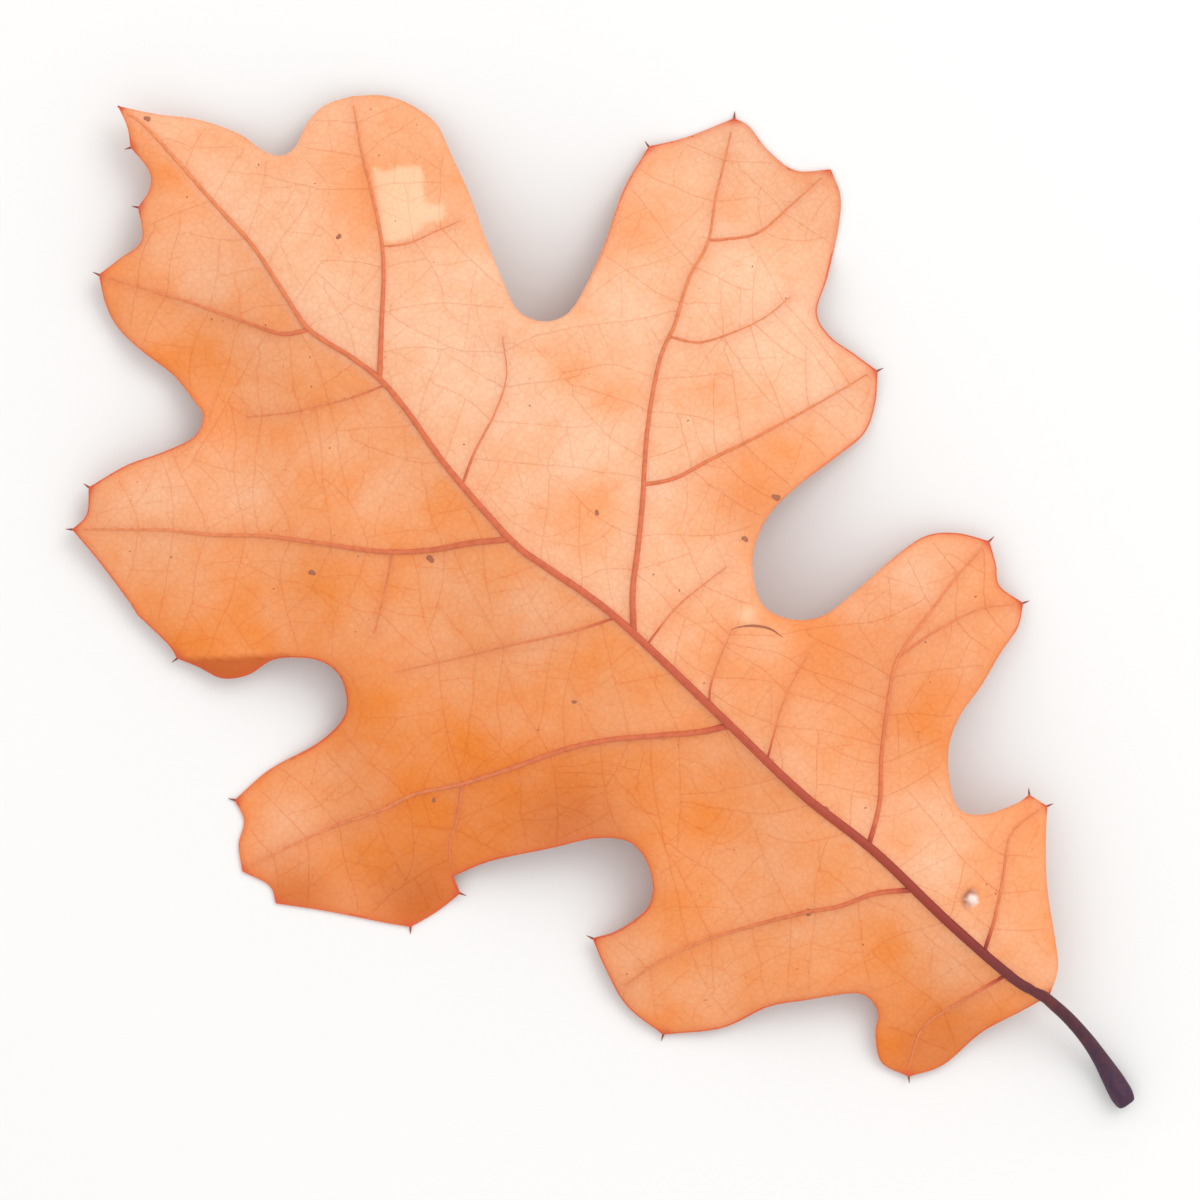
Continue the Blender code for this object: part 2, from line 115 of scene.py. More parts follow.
# Each rib: half width and height over the blade in millimetres where it starts, both falling to END_SHARE
# of that at its end, then its route from the thicker rib to the margin.
END_SHARE = 0.28
RIBS = {
    "midrib": (0.62, 0.6, [
        (-0.5, 1), (-1.5, 4.5), (-2, 15), (-2, 27), (-3, 38), (-3, 50), (-3, 65.5), (-3.5, 72),
        (-4.5, 78), (-5, 83), (-4, 94), (-2.5, 102), (-2, 107), (-2.5, 111.5), (-3.5, 117), (-2.5, 122),
        (-1, 128.5), (-0.5, 135), (0, 141), (0.5, 147.5), (0.2, 150.5),
    ]),
    "upper_right": (0.32, 0.32, [
        (-2, 107), (2.5, 111), (7.5, 115.5), (10.5, 119), (13.5, 123.5), (16, 127.5), (19.3, 132),
    ]),
    "long_right": (0.36, 0.36, [
        (-3, 65), (0.5, 68.5), (4.5, 71.5), (9, 75), (12.5, 78), (17, 81.5), (22.5, 85), (26.5, 86.5),
        (31.5, 89), (36.5, 90.5), (41, 93.5), (44.5, 95.5), (48, 97.6),
    ]),
    "long_right_low": (0.25, 0.25, [
        (10.5, 76), (13.5, 74), (18, 72.5), (23.5, 70.5), (31.5, 68), (38.3, 66.1),
    ]),
    "long_right_end": (0.2, 0.2, [(36.6, 90.6), (38.2, 89.2), (41.5, 87), (46.5, 86.5), (51.5, 86.1)]),
    "lower_right": (0.3, 0.3, [
        (-2, 28), (2.5, 30.5), (6.5, 34), (10.5, 37), (15, 40), (18.5, 41), (23.5, 41.5), (28.5, 42),
        (32.8, 42),
    ]),
    "end_left": (0.26, 0.26, [
        (-3.5, 117), (-6, 119), (-7.5, 122), (-9, 125.5), (-11, 130), (-13, 134), (-15.4, 138.8),
    ]),
    "upper_left": (0.36, 0.36, [
        (-5, 83), (-8.5, 86), (-12.5, 89), (-16.5, 93), (-20.5, 98.5), (-24.5, 104), (-29, 109),
        (-32.5, 113.5), (-39, 120.5),
    ]),
    "long_left": (0.38, 0.38, [
        (-3, 49.5), (-6, 51.5), (-10, 55), (-14, 58.5), (-18.5, 61.5), (-24.5, 64.5), (-30, 67.5),
        (-34.5, 70.5), (-38.5, 72), (-43.5, 74.5), (-49.5, 77), (-54, 78.5),
    ]),
    "lower_left": (0.32, 0.32, [
        (-2, 20.5), (-5.5, 23.5), (-9.5, 25.5), (-13, 28), (-18, 31), (-23.5, 34), (-29, 36),
        (-33.8, 36.9),
    ]),
    "base_right": (0.24, 0.24, [(-1.5, 9.5), (2.5, 11.5), (6.5, 14), (10.5, 16.5), (15, 16)]),
    "base_left": (0.24, 0.24, [(-1.5, 5.5), (-7.5, 7), (-13, 8), (-17.7, 5.8)]),
    "long_right_mid": (0.17, 0.16, [(25, 86), (27, 83), (30.5, 81), (34.5, 79.5), (38.5, 79)]),
    "lower_right_end": (0.18, 0.17, [(17, 40.5), (21.5, 39.5), (27, 37.5), (30.6, 34.7)]),
    "upper_left_low": (0.14, 0.13, [(-15.5, 92), (-19.5, 89.5), (-24, 87)]),
    "long_left_low": (0.2, 0.2, [(-29.5, 67.5), (-33, 65), (-36, 63.5), (-38, 61.3)]),
    "between_left": (0.17, 0.16, [(-3.5, 68), (-8, 70.5), (-14, 74.5), (-19.5, 78), (-25.5, 82)]),
    "bay_right": (0.18, 0.17, [(-4, 91.5), (-0.5, 93), (4.5, 94.5), (8.5, 96.5), (11.5, 100)]),
    "top_left": (0.14, 0.13, [(-2, 106), (-6, 108), (-9, 110), (-12, 112), (-16, 115.5)]),
    "middle_right": (0.15, 0.14, [(-3, 63), (2.5, 63.5), (7, 63), (10, 62.5)]),
    "bay_low": (0.14, 0.13, [(-3, 43.5), (1.5, 46), (5, 47.5), (9, 48.5)]),
    "crease_rib": (0.15, 0.14, [(-3, 52.8), (-1.2, 54.3), (1.8, 55.7), (5.3, 57)]),
    "patch_rib": (0.14, 0.13, [(9.6, 117.5), (11.9, 115.7), (14.6, 114.6), (18, 113.2)]),
}
MAIN_RIBS = [
    "midrib", "upper_right", "long_right", "long_right_low", "long_right_end", "lower_right", "end_left",
    "upper_left", "long_left", "lower_left", "base_right", "base_left",
]

# Heights of the underside over the surface: a roof whose ridge is the midrib, with lobes that droop. The
# long left lobe and the long right one come down below zero here, so they lie flat on the surface.
HEIGHTS = [
    # down the midrib
    (-0.5, -1, 5.2), (-1.8, 10, 8.6), (-2, 27, 12.2), (-3, 44, 14.6), (-3, 62, 16), (-4.5, 78, 16.2),
    (-3.5, 96, 14.8), (-2.5, 112, 12), (-1.5, 128, 8.4), (0, 141, 5.6), (0, 152, 4.4),
    # left side, from the base up
    (-10, 7, 4.2), (-18.5, 5, 2.4), (-18, 10, 3.2), (-15, 16, 5.6), (-9.5, 25.5, 9.6), (-20, 32, 7.2),
    (-29, 25.5, 3.4), (-35, 32, 2.2), (-29, 36, 4), (-33, 43, 2.6), (-22, 45, 7.4), (-14, 47, 10.2),
    (-14, 58.5, 12.2), (-24.5, 64.5, 9.4), (-30, 57, 6.2), (-39.5, 59, 1.9), (-37, 71.5, 4.2),
    (-46, 61, -0.2), (-47, 76, -0.9), (-55, 76, -2.4), (-50, 84.5, -1), (-42, 84, 1.4), (-32, 84, 6),
    (-19, 80, 11), (-12.5, 89, 12.9), (-20.5, 98.5, 10.2), (-31, 91, 6.4), (-41, 99, 3), (-29, 109, 6.8),
    (-42, 108, 2.4), (-39.5, 121, 3.6), (-28, 120.5, 4.2), (-19, 119, 5.6), (-12, 110, 9.3),
    (-10, 127, 6.6), (-18.5, 131, 3.2), (-15.5, 139, 3.4), (-7, 141, 4.6),
    # right side, from the base up
    (7, 7, 6.4), (15.5, 16.5, 5.6), (9, 23, 9.2), (10.5, 37, 11.8), (21, 31.5, 5.4), (31.5, 34, 2.2),
    (22, 41.3, 7), (33.5, 42, 2.4), (27, 48, 4.8), (13.5, 50.5, 10.8), (11, 58, 12.9), (9, 75, 14.4),
    (20, 62.7, 9.2), (31, 62, 4.8), (39, 66, 2), (23.5, 70.5, 10), (22.5, 85, 11.2), (39, 74, 4),
    (36.5, 90.5, 4.4), (46, 79.5, 1), (52.5, 86, -2.2), (43, 94, 0.4), (49, 92, -1.8), (49, 98.5, -1.2),
    (40, 103, 2.6), (27, 99, 7.4), (15.5, 100, 11.2), (8, 100, 13), (8.5, 116, 9.8), (20, 112, 7.6),
    (24.5, 123, 4), (16, 127.5, 5.2), (19.5, 133, 3.4), (9, 134, 4.8),
]

# Slow waves over the blade: height, the wavelengths along X and Y, and the angle where they start.
WAVES = [
    (0.45, 47, 61, 0.6),
    (0.3, 31, -38, 2.1),
    (0.2, -22, 27, 4.4),
]

# The stalk's route from its foot to the blade, and its radius in millimetres.
STALK = [
    ((-3, -15.98, 1.3), 0.85),
    ((-2.97, -15.84, 1.3), 1.12),
    ((-2.88, -15.5, 1.36), 1.28),
    ((-2.6, -14.6, 1.5), 1.42),
    ((-2, -12.6, 1.62), 1.3),
    ((-1.3, -10, 2.2), 1),
    ((-0.7, -7, 3.2), 0.82),
    ((-0.4, -3.5, 4.5), 0.74),
    ((-0.5, 0, 5.95), 0.7),
]

# A worm's feeding spot, where only the white outer skin is left, and the dry pale patch beside the rib of the
# upper right lobe.
WINDOW = (1.9, 14.8)
WINDOW_RADIUS = 0.85
DRY_PATCH = [(15.6, 125.6), (10.6, 119.2), (9.8, 118), (12.4, 116), (15, 115.8), (16.6, 114.7), (18.2, 116),
             (16.9, 117.6), (19.5, 120.9), (18.2, 122.6), (16.2, 124)]

# A dry crease beside the bottom of the right bay, whose dark lip is partly painted shadow, and the painted
# highlight beside it, with how far round.
CREASE = [(5.2, 57.1), (6.2, 56.5), (7.4, 55.4), (8.4, 53.8), (8.7, 52)]
CREASE_HIGHLIGHT = (7.7, 56.9, 1.1)

# Where the edge of the upper left lobe folds down, and how far from that line the lobe reaches. What hangs
# past the line is painted shade as well.
FOLD_LINE = [(-42.1, 102), (-33.5, 93.7)]
FOLD_REACH = 5

# Where the skin is deeper than round it, or paler: place, radius and how much. These are partly tones that
# the leaf took as it dried, and partly painted shade and painted highlight that follow its relief.
TONE_AND_SHADE_SPOTS = [
    # right half, from the base up
    (4, 14, 4, 0.14), (5, 22, 5, -0.32), (12, 30, 4, 0.2), (17, 38, 12, 0.22), (11, 48, 4, 0.16),
    (24, 45, 7, -0.34), (2, 59, 5, 0.28), (10, 56, 3, 0.12), (10, 68.5, 3.5, 0.24), (19, 66, 7, 0.56),
    (25, 68, 4, 0.16), (21, 75, 4, -0.22), (25, 77, 3.5, 0.24), (31, 74, 6, -0.4), (2.5, 78, 5, 0.44),
    (8, 83, 3.5, -0.14), (14, 85, 3, 0.26), (14, 91, 3, 0.3), (24, 90, 5, -0.12), (34, 85, 5, -0.22),
    (42, 84, 3.5, 0.18), (33, 98, 5, 0.38), (10, 104, 8, -0.28), (18, 124, 9, 0.24), (11, 123, 5, 0.3),
    (1.5, 126, 3.5, -0.06), (3, 137, 8, 0.14),
    # left half, from the base up
    (-13, 4, 8, 0.5), (-5, 11, 8, -0.22), (-8, 17.5, 4.5, 0.3), (-8, 25, 6, -0.14), (-15, 34, 7, -0.16),
    (-12, 43, 7, 0.28), (-31, 40, 5, -0.2), (-38, 64, 20, 0.18), (-31, 70, 8, 0.16), (-37, 76, 5, -0.14),
    (-47, 79, 6, -0.34), (-8, 75, 5, -0.36), (-30, 94, 12, 0.14), (-10, 99, 6, -0.24),
    (-23, 109, 5, -0.16), (-31, 116, 10, -0.28), (-15, 125, 6, 0.2), (-7, 131, 8, -0.38),
]

# Painted shade, mostly by the margin where lobes curl down away from the light: place, radius and how much.
PAINTED_SHADES = [
    (-14, 4, 7, 0.42), (-24, 55, 7, 0.52), (-44, 61, 6, 0.54), (-54, 72, 5, 0.56), (-36, 66, 14, 0.18),
    (12, 45, 5, 0.1), (16, 38, 12, 0.18), (17, 65, 5, 0.18),
]

# Where the margin faces the light and its red is taken away, a painted highlight, and how far round that.
LIT_MARGIN = (17, 120, 17)

# Specks of fungus on the side that is up, with their radius.
SPECKS = [
    (-13.1, 88.2, 0.5), (-23.9, 97.2, 0.42), (20.1, 63.9, 0.5), (14, 63.2, 0.4), (6.8, 122.2, 0.36),
    (1.3, 148.4, 0.4), (-12.5, 27.5, 0.4), (-2.5, 34.4, 0.6), (-2.9, 46.8, 0.5), (4.2, 77.8, 0.34),
    (-13.6, 64.5, 0.3), (-33.5, 68.4, 0.3),
]

# The picture's right and up on the plan: the leaf lies turned, with its end tooth to the upper left.
PICTURE_RIGHT = np.array([0.6905, -0.7233])
PICTURE_UP = np.array([0.7233, 0.6905])


def smooth_line(points, step):
    """Points at most step apart on a curve through the given ones, each span a cubic whose end slopes are
    half the way from the point before to the point after."""
    p = np.asarray(points, float)
    slopes = np.gradient(p, axis=0)
    line = [p[:1]]
    for a, b, slope_a, slope_b in zip(p[:-1], p[1:], slopes[:-1], slopes[1:]):
        count = max(1, round(float(np.linalg.norm(b - a)) / step))
        t = np.linspace(0, 1, count + 1)[1:, None]
        line.append(
            (2 * t**3 - 3 * t**2 + 1) * a
            + (t**3 - 2 * t**2 + t) * slope_a
            + (3 * t**2 - 2 * t**3) * b
            + (t**3 - t**2) * slope_b
        )
    return np.concatenate(line)


def by_chunks(points, work):
    """What work gives for each point, taken so many points at once that its tables stay small."""
    starts = range(0, max(len(points), 1), CHUNK)
    return np.concatenate([work(points[start : start + CHUNK]) for start in starts])


def squares_between(points, others):
    """The squared distance from each point to each of others."""
    return (points**2).sum(1)[:, None] + (others**2).sum(1) - 2 * points @ others.T


def nearest(points, others, ranks=1):
    """Each point's distances to others, the smallest ranks of them, and which of others is nearest."""

    def find(part):
        squares = squares_between(part, others)
        least = np.sort(np.partition(squares, ranks - 1, axis=1)[:, :ranks], axis=1)
        return np.column_stack([np.sqrt(np.maximum(least, 0)), squares.argmin(1)])

    found = by_chunks(points, find)
    return found[:, :ranks], found[:, ranks].astype(int)


def gap_to(points, others):
    """The distance from each point to the nearest of others."""
    return nearest(points, others)[0][:, 0]


def inside(points, loop):
    """True where a ray to the right of the point crosses the closed loop an odd number of times."""
    a, b = loop, np.roll(loop, -1, axis=0)
    rise = np.where(b[:, 1] == a[:, 1], 1, b[:, 1] - a[:, 1])

    def find(part):
        y = part[:, 1, None]
        spans = (a[:, 1] > y) != (b[:, 1] > y)
        crossing = a[:, 0] + (y - a[:, 1]) / rise * (b[:, 0] - a[:, 0])
        return (spans & (part[:, 0, None] < crossing)).sum(1) % 2 == 1

    return by_chunks(points, find)


def ripple(points, wavelength, seed):
    """A smooth random field of about one wavelength: the sum of sixteen plane waves, each with a random
    heading, wavelength and start, scaled so that it mostly stays between -1 and 1."""
    draw = np.random.default_rng(seed)
    heading = draw.uniform(0, 2 * np.pi, 16)
    length = wavelength * draw.uniform(0.75, 1.5, 16)
    turn = 2 * np.pi / length * np.stack([np.cos(heading), np.sin(heading)])
    return np.sin(points @ turn + draw.uniform(0, 2 * np.pi, 16)).sum(1) / 5


def hexagonal(low, high, step):
    """Points of an even lattice of triangles, of the given side, over a box."""
    x, y = np.meshgrid(
        np.arange(low[0], high[0], step),
        np.arange(low[1], high[1], step * np.sqrt(3) / 2),
    )
    x[1::2] += step / 2
    return np.stack([x.ravel(), y.ravel()], axis=1)


MARGIN_STRETCHES = [
    smooth_line(np.array(stretch + following[:1]) * UNIT, MARGIN_STEP)[:-1]
    for stretch, following in zip(MARGIN, MARGIN[1:] + MARGIN[:1])
]
MARGIN_LOOP = np.concatenate(MARGIN_STRETCHES)


def find_teeth():
    """The tips where two stretches of the margin meet in a sharp corner that points outwards, and each
    one's heading. The margin runs clockwise, so it turns right there."""
    at = np.cumsum([0] + [len(stretch) for stretch in MARGIN_STRETCHES[:-1]])
    tips = MARGIN_LOOP[at]
    before, after = MARGIN_LOOP[at - 3], MARGIN_LOOP[(at + 3) % len(MARGIN_LOOP)]
    (ax, ay), (bx, by) = (tips - before).T, (after - tips).T
    turn = np.arctan2(ax * by - ay * bx, ax * bx + ay * by)
    outwards = 2 * tips - before - after
    outwards /= np.linalg.norm(outwards, axis=1)[:, None]
    return tips[turn < -0.5], outwards[turn < -0.5]


TOOTH_TIPS, TOOTH_HEADINGS = find_teeth()
RIB_LINES = {name: smooth_line(np.array(route) * UNIT, LINE_STEP) for name, (_, _, route) in RIBS.items()}
RIB_POINTS = np.concatenate(list(RIB_LINES.values()))
RIB_HALVES = np.concatenate(
    [RIBS[name][0] * MM * np.linspace(1, END_SHARE, len(line)) for name, line in RIB_LINES.items()]
)
MAIN_POINTS = RIB_LINES["midrib"]
MAIN_SHARES = np.linspace(1, END_SHARE, len(MAIN_POINTS))
for main_name in MAIN_RIBS[1:]:
    main_line = RIB_LINES[main_name]
    start_share = MAIN_SHARES[nearest(main_line[:1], MAIN_POINTS)[1][0]]
    MAIN_POINTS = np.concatenate([MAIN_POINTS, main_line])
    MAIN_SHARES = np.concatenate([MAIN_SHARES, np.linspace(start_share, END_SHARE, len(main_line))])

# The finest net of veins that is modelled: its meshes are the cells round seeds set about this far apart.
MESH_STEP = 2.3 * UNIT
MESH_JITTER = 0.34
CELL_SEEDS = hexagonal(MARGIN_LOOP.min(0) - MESH_STEP, MARGIN_LOOP.max(0) + MESH_STEP, MESH_STEP)
CELL_SEEDS = CELL_SEEDS + np.random.default_rng(5).uniform(-1, 1, CELL_SEEDS.shape) * MESH_JITTER * MESH_STEP


def bending(distance):
    """The height of a thin plate pushed up at one point: distance squared times its logarithm."""
    return distance**2 * np.log(np.maximum(distance, SAME_POINT))


def thin_plate(points):
    """Height of the thin plate through HEIGHTS, plus WAVES."""
    controls = np.array(HEIGHTS) * UNIT
    plan = controls[:, :2]
    count = len(plan)
    system = np.zeros((count + 3, count + 3))
    system[:count, :count] = bending(np.linalg.norm(plan[:, None] - plan, axis=2))
    system[:count, count] = system[count, :count] = 1
    system[:count, count + 1 :] = plan
    system[count + 1 :, :count] = plan.T
    pull = np.linalg.solve(system, np.concatenate([controls[:, 2], np.zeros(3)]))
    raw = bending(np.linalg.norm(points[:, None] - plan, axis=2)) @ pull[:count]
    raw += pull[count] + points @ pull[count + 1 :]
    for height, wave_x, wave_y, start in WAVES:
        turn = points[:, 0] / (wave_x * UNIT) + points[:, 1] / (wave_y * UNIT)
        raw += height * UNIT * np.sin(2 * np.pi * turn + start)
    return raw


PANEL_DIP = 1.0 * MM  # how far the blade sinks between its ribs
PANEL_REACH = 4 * UNIT
BUCKLE = 0.4 * MM
BUCKLE_WAVE = 17 * UNIT
RUFFLE = 0.45 * MM
RUFFLE_WAVE = 9 * UNIT
RUFFLE_REACH = 4 * UNIT
EDGE_TURN = 0.35 * MM
TURN_REACH = 1.1 * UNIT
FOLD_DROP = 0.3 / UNIT * MM
CELL_PUFF = 0.08 * MM
FILLET_SHARE = 0.3  # height of the fillet beside a rib, as a share of the rib's half width
LEAST_CREST = 0.06 * MM
GROOVE = 0.1 * MM


def crease(points):
    """How much of a main rib's crease each point has: the most that any point of those ribs gives it, which
    is the share of the rib there times e to the power of minus the distance over PANEL_REACH."""

    def find(part):
        gaps = np.sqrt(np.maximum(squares_between(part, MAIN_POINTS), 0))
        return (MAIN_SHARES * np.exp(-gaps / PANEL_REACH)).max(1)

    return by_chunks(points, find)


def past_fold(points):
    """How far each point is outside the fold line, or 0 where it isn't part of what hangs from the line."""
    a, b = np.array(FOLD_LINE) * UNIT
    length = np.linalg.norm(b - a)
    along = (b - a) / length
    outside = (points - a) @ (along[1], -along[0])
    share = (points - a) @ along / length
    return np.where((outside < FOLD_REACH * UNIT) & (share > -0.1) & (share < 1.1), np.maximum(outside, 0), 0)


def blade_form(points):
    """Heights of the two faces of the blade, and the distances to the nearest rib and to the margin.

    The underside is the thin plate, less a dip that grows away from the main ribs so that each stands on a
    crease, plus slow buckles, a ruffle that grows towards the margin, a turned down edge and the fold, laid
    softly on the surface. Each cell of the net then puffs up between its veins, and a groove runs under
    each rib. The face above is one thickness higher, with a fillet beside each rib."""
    rib_gap, rib_at = nearest(points, RIB_POINTS)
    rib_gap = rib_gap[:, 0]
    half = RIB_HALVES[rib_at]
    edge_gap = gap_to(points, MARGIN_LOOP)
    cells = nearest(points, CELL_SEEDS, 2)[0]
    slow = (
        thin_plate(points)
        - PANEL_DIP * (1 - crease(points))
        + BUCKLE * ripple(points, BUCKLE_WAVE, 11)
        + RUFFLE * np.exp(-edge_gap / RUFFLE_REACH) * ripple(points, RUFFLE_WAVE, 23)
        - EDGE_TURN * np.exp(-edge_gap / TURN_REACH)
        - FOLD_DROP * past_fold(points) ** 2
        + LIFT
    )
    blend = (slow + FLOOR_BLEND) ** 2 / (4 * FLOOR_BLEND)
    underside = np.where(slow < -FLOOR_BLEND, 0, np.where(slow < FLOOR_BLEND, blend, slow))
    inner = np.clip(edge_gap / UNIT, 0, 1)
    puff = np.clip((cells[:, 1] - cells[:, 0]) / (0.8 * MESH_STEP), 0, 1)
    underside = underside + CELL_PUFF * puff * (2 - puff) * inner
    rib_share = np.exp(-((rib_gap / (1.6 * half + 0.1 * MM)) ** 2)) * inner
    shown = underside + BLADE_THICKNESS + FILLET_SHARE * half * rib_share
    return underside + GROOVE * rib_share, shown, rib_gap, edge_gap


def placed(plan, height):
    """Points in the part's frame from plan points and heights."""
    low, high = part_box("oak_leaf")
    middle = np.array([(low.x + high.x) / 2, (low.y + high.y) / 2])
    return np.column_stack([plan - PLAN_MIDDLE + middle, height])


def make_piece(name, points, faces, materials, paint, face_materials=None):
    """An object of one mesh that rides on the leaf's body, smooth but for its sharp edges."""
    mesh = bpy.data.meshes.new(name)
    mesh.from_pydata(points.tolist(), [], faces)
    for material in materials:
        mesh.materials.append(material)
    if face_materials is not None:
        mesh.polygons.foreach_set("material_index", face_materials)
    for key, values in paint.items():
        mesh.attributes.new(key, "FLOAT", "POINT").data.foreach_set("value", values.astype(np.float32))
    mesh.shade_smooth()
    mesh.set_sharp_from_angle(angle=np.radians(50))
    piece = bpy.data.objects.new(name, mesh)
    bpy.context.scene.collection.objects.link(piece)
    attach(piece, "root")
    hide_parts("oak_leaf")


def faces_between(last, sides):
    """Faces of tubes whose rings, of so many points, follow one another. last is true for each tube's last
    ring, and nowhere for a loop. Quads join a ring to the next, and a cap closes a tube at both ends."""
    at = np.arange(len(last) * sides).reshape(-1, sides)
    here, after = at[~last], at[(np.flatnonzero(~last) + 1) % len(at)]
    quads = np.stack([here, after, np.roll(after, -1, axis=1), np.roll(here, -1, axis=1)], axis=2)
    first = np.roll(last, 1)
    return quads.reshape(-1, 4).tolist() + at[first].tolist() + at[last, ::-1].tolist()


def make_rings(name, points, last, sides, material, paint=None):
    """A piece of rings joined as faces_between says. Its paint has one value for each ring."""
    paint = {key: np.repeat(values, sides) for key, values in (paint or {}).items()}
    make_piece(name, points, faces_between(last, sides), [material], paint)


def ends_of(lines):
    """The lines' points in one array, and true for each line's last point."""
    last = np.zeros(sum(len(line) for line in lines), bool)
    last[np.cumsum([len(line) for line in lines]) - 1] = True
    return np.concatenate(lines), last


def headings_of(points, last):
    """The unit direction along each line at its points, from the point before to the point after."""
    at = np.arange(len(points))
    ahead = points[np.where(last, at, (at + 1) % len(at))] - points[np.where(np.roll(last, 1), at, at - 1)]
    return ahead / np.linalg.norm(ahead, axis=1)[:, None]


def right_of(ahead):
    """Directions on the plan to the right of the given ones."""
    return np.column_stack([ahead[:, 1], -ahead[:, 0]])


def tubes(route, last, side_radius, up_radius, sides):
    """Points of tubes: at each point of the route a ring of points round an ellipse, its side radius level
    and square to the route and its up radius square to both. Rings run from the right over the top."""
    along = headings_of(route, last)
    across = np.column_stack([right_of(along), np.zeros(len(along))])
    across /= np.linalg.norm(across, axis=1)[:, None]
    above = np.cross(across, along)
    angle = np.linspace(0, 2 * np.pi, sides, endpoint=False)
    ring = (
        route[:, None]
        + (across * np.reshape(side_radius, (-1, 1)))[:, None] * np.cos(angle)[:, None]
        + (above * np.reshape(up_radius, (-1, 1)))[:, None] * np.sin(angle)[:, None]
    )
    return ring.reshape(-1, 3)


def linear(code):
    """A colour from its sRGB hex code, as linear light."""
    value = np.array([int(code[i : i + 2], 16) for i in (1, 3, 5)]) / 255
    light = np.where(value <= 0.04045, value / 12.92, ((value + 0.055) / 1.055) ** 2.4)
    return (*light.tolist(), 1.0)


def add(tree, kind, inputs=None, **settings):
    """Adds a node: settings are its properties, and each input is a value or the socket that feeds it."""
    made = tree.nodes.new(kind)
    for key, value in settings.items():
        setattr(made, key, value)
    for key, value in (inputs or {}).items():
        if isinstance(value, bpy.types.NodeSocket):
            tree.links.new(value, made.inputs[key])
        else:
            made.inputs[key].default_value = value
    return made


def new_material(name):
    material = bpy.data.materials.new(name)
    material.use_nodes = True
    tree = material.node_tree
    tree.nodes.clear()
    return material, tree


def skin(tree, colour, relief, strength, depth, roughness, gloss=0.5):
    """The shader of a skin with relief, whose depth is in millimetres, and its normal."""
    bump = add(tree, "ShaderNodeBump", {"Strength": strength, "Distance": depth * MM, "Height": relief})
    normal = bump.outputs["Normal"]
    look = {"Base Color": colour, "Roughness": roughness, "Specular IOR Level": gloss, "Normal": normal}
    return add(tree, "ShaderNodeBsdfPrincipled", look).outputs[0], normal


MIX_A, MIX_B, MIX_OUT = 6, 7, 2  # the colour sockets of a Mix node
RANGE_INPUTS = ("Value", "From Min", "From Max", "To Min", "To Max")
# The worm's window is bare white skin, and a dark rim lies along one side of it only.
BARE_SKIN, WINDOW_RIM_TONE = "#FFF1EA", "#9C5A48"


def blade_material(name, pale, deep, blotch, dry, rib_tone, edge_tone, fold_shade_tone, glow, roughness, gloss):
    """Dry oak leaf skin: pale to deep by the attribute warm, which is partly painted shade, mottled at a few
    millimetres, and darker by the ribs and the margin; the attribute fold lays painted shade, and patch also
    lays a painted highlight. The meshes of its finest veins are about 0.8 mm across, twice the real size, so
    that they show. Light comes through it."""
    material, tree = new_material(name)
    place = add(tree, "ShaderNodeTexCoord").outputs["Object"]
    paint = {
        key: add(tree, "ShaderNodeAttribute", attribute_name=key).outputs["Fac"]
        for key in ("warm_and_shade", "patch", "fold", "rib", "edge", "bare", "window_rim")
    }
    broad, stain, fine = (
        add(tree, "ShaderNodeTexNoise", {"Vector": place, **inputs})
        for inputs in (
            {"Scale": 1 / (9 * MM), "Detail": 4.0, "Roughness": 0.6},
            {"Scale": 1 / (4.5 * MM), "Detail": 5.0, "Roughness": 0.7, "Distortion": 0.6},
            {"Scale": 1 / (1.6 * MM), "Detail": 3.0},
        )
    )
    shift = {0: fine.outputs["Color"], 1: (0.35 * MM, 0.35 * MM, 0.35 * MM)}
    warp = add(tree, "ShaderNodeVectorMath", shift, operation="MULTIPLY")
    bent = add(tree, "ShaderNodeVectorMath", {0: place, 1: warp.outputs[0]}, operation="ADD")
    net = add(
        tree, "ShaderNodeTexVoronoi", {"Vector": bent.outputs[0], "Scale": 1 / (0.85 * MM)},
        voronoi_dimensions="2D", feature="DISTANCE_TO_EDGE",
    )
    vein, tone, stained, grain = (
        add(tree, "ShaderNodeMapRange", dict(zip(RANGE_INPUTS, values))).outputs["Result"]
        for values in (
            (net.outputs["Distance"], 0.02, 0.2, 1.0, 0.0),
            (broad.outputs["Fac"], 0.35, 0.7, -0.12, 0.16),
            (stain.outputs["Fac"], 0.54, 0.8, 0.0, 0.3),
            (fine.outputs["Fac"], 0.3, 0.7, 0.0, 0.16),
        )
    )
    depth = add(tree, "ShaderNodeMath", {0: paint["warm_and_shade"], 1: tone}, operation="ADD", use_clamp=True)
    vein_tint = add(tree, "ShaderNodeMath", {0: vein, 1: 0.09}, operation="MULTIPLY")
    layers = [
        (depth.outputs[0], deep), (stained, blotch), (grain, deep), (vein_tint.outputs[0], rib_tone),
        (paint["patch"], dry), (paint["fold"], fold_shade_tone), (paint["rib"], rib_tone),
        (paint["edge"], edge_tone), (paint["bare"], BARE_SKIN), (paint["window_rim"], WINDOW_RIM_TONE),
    ]
    colour = linear(pale)
    for share, code in layers:
        layer = add(tree, "ShaderNodeMix", {0: share, MIX_A: colour, MIX_B: linear(code)}, data_type="RGBA")
        colour = layer.outputs[MIX_OUT]

    relief = add(tree, "ShaderNodeMath", {0: fine.outputs["Fac"], 1: 0.6, 2: vein}, operation="MULTIPLY_ADD")
    surface, normal = skin(tree, colour, relief.outputs[0], 0.35, 0.08, roughness, gloss)
    through = add(tree, "ShaderNodeMix", {0: 0.55, MIX_A: colour, MIX_B: linear(glow)}, data_type="RGBA")
    lit = add(tree, "ShaderNodeBsdfTranslucent", {"Color": through.outputs[MIX_OUT], "Normal": normal})
    both = add(tree, "ShaderNodeMixShader", {0: 0.18, 1: surface, 2: lit.outputs[0]})
    add(tree, "ShaderNodeOutputMaterial", {"Surface": both.outputs[0]})
    return material
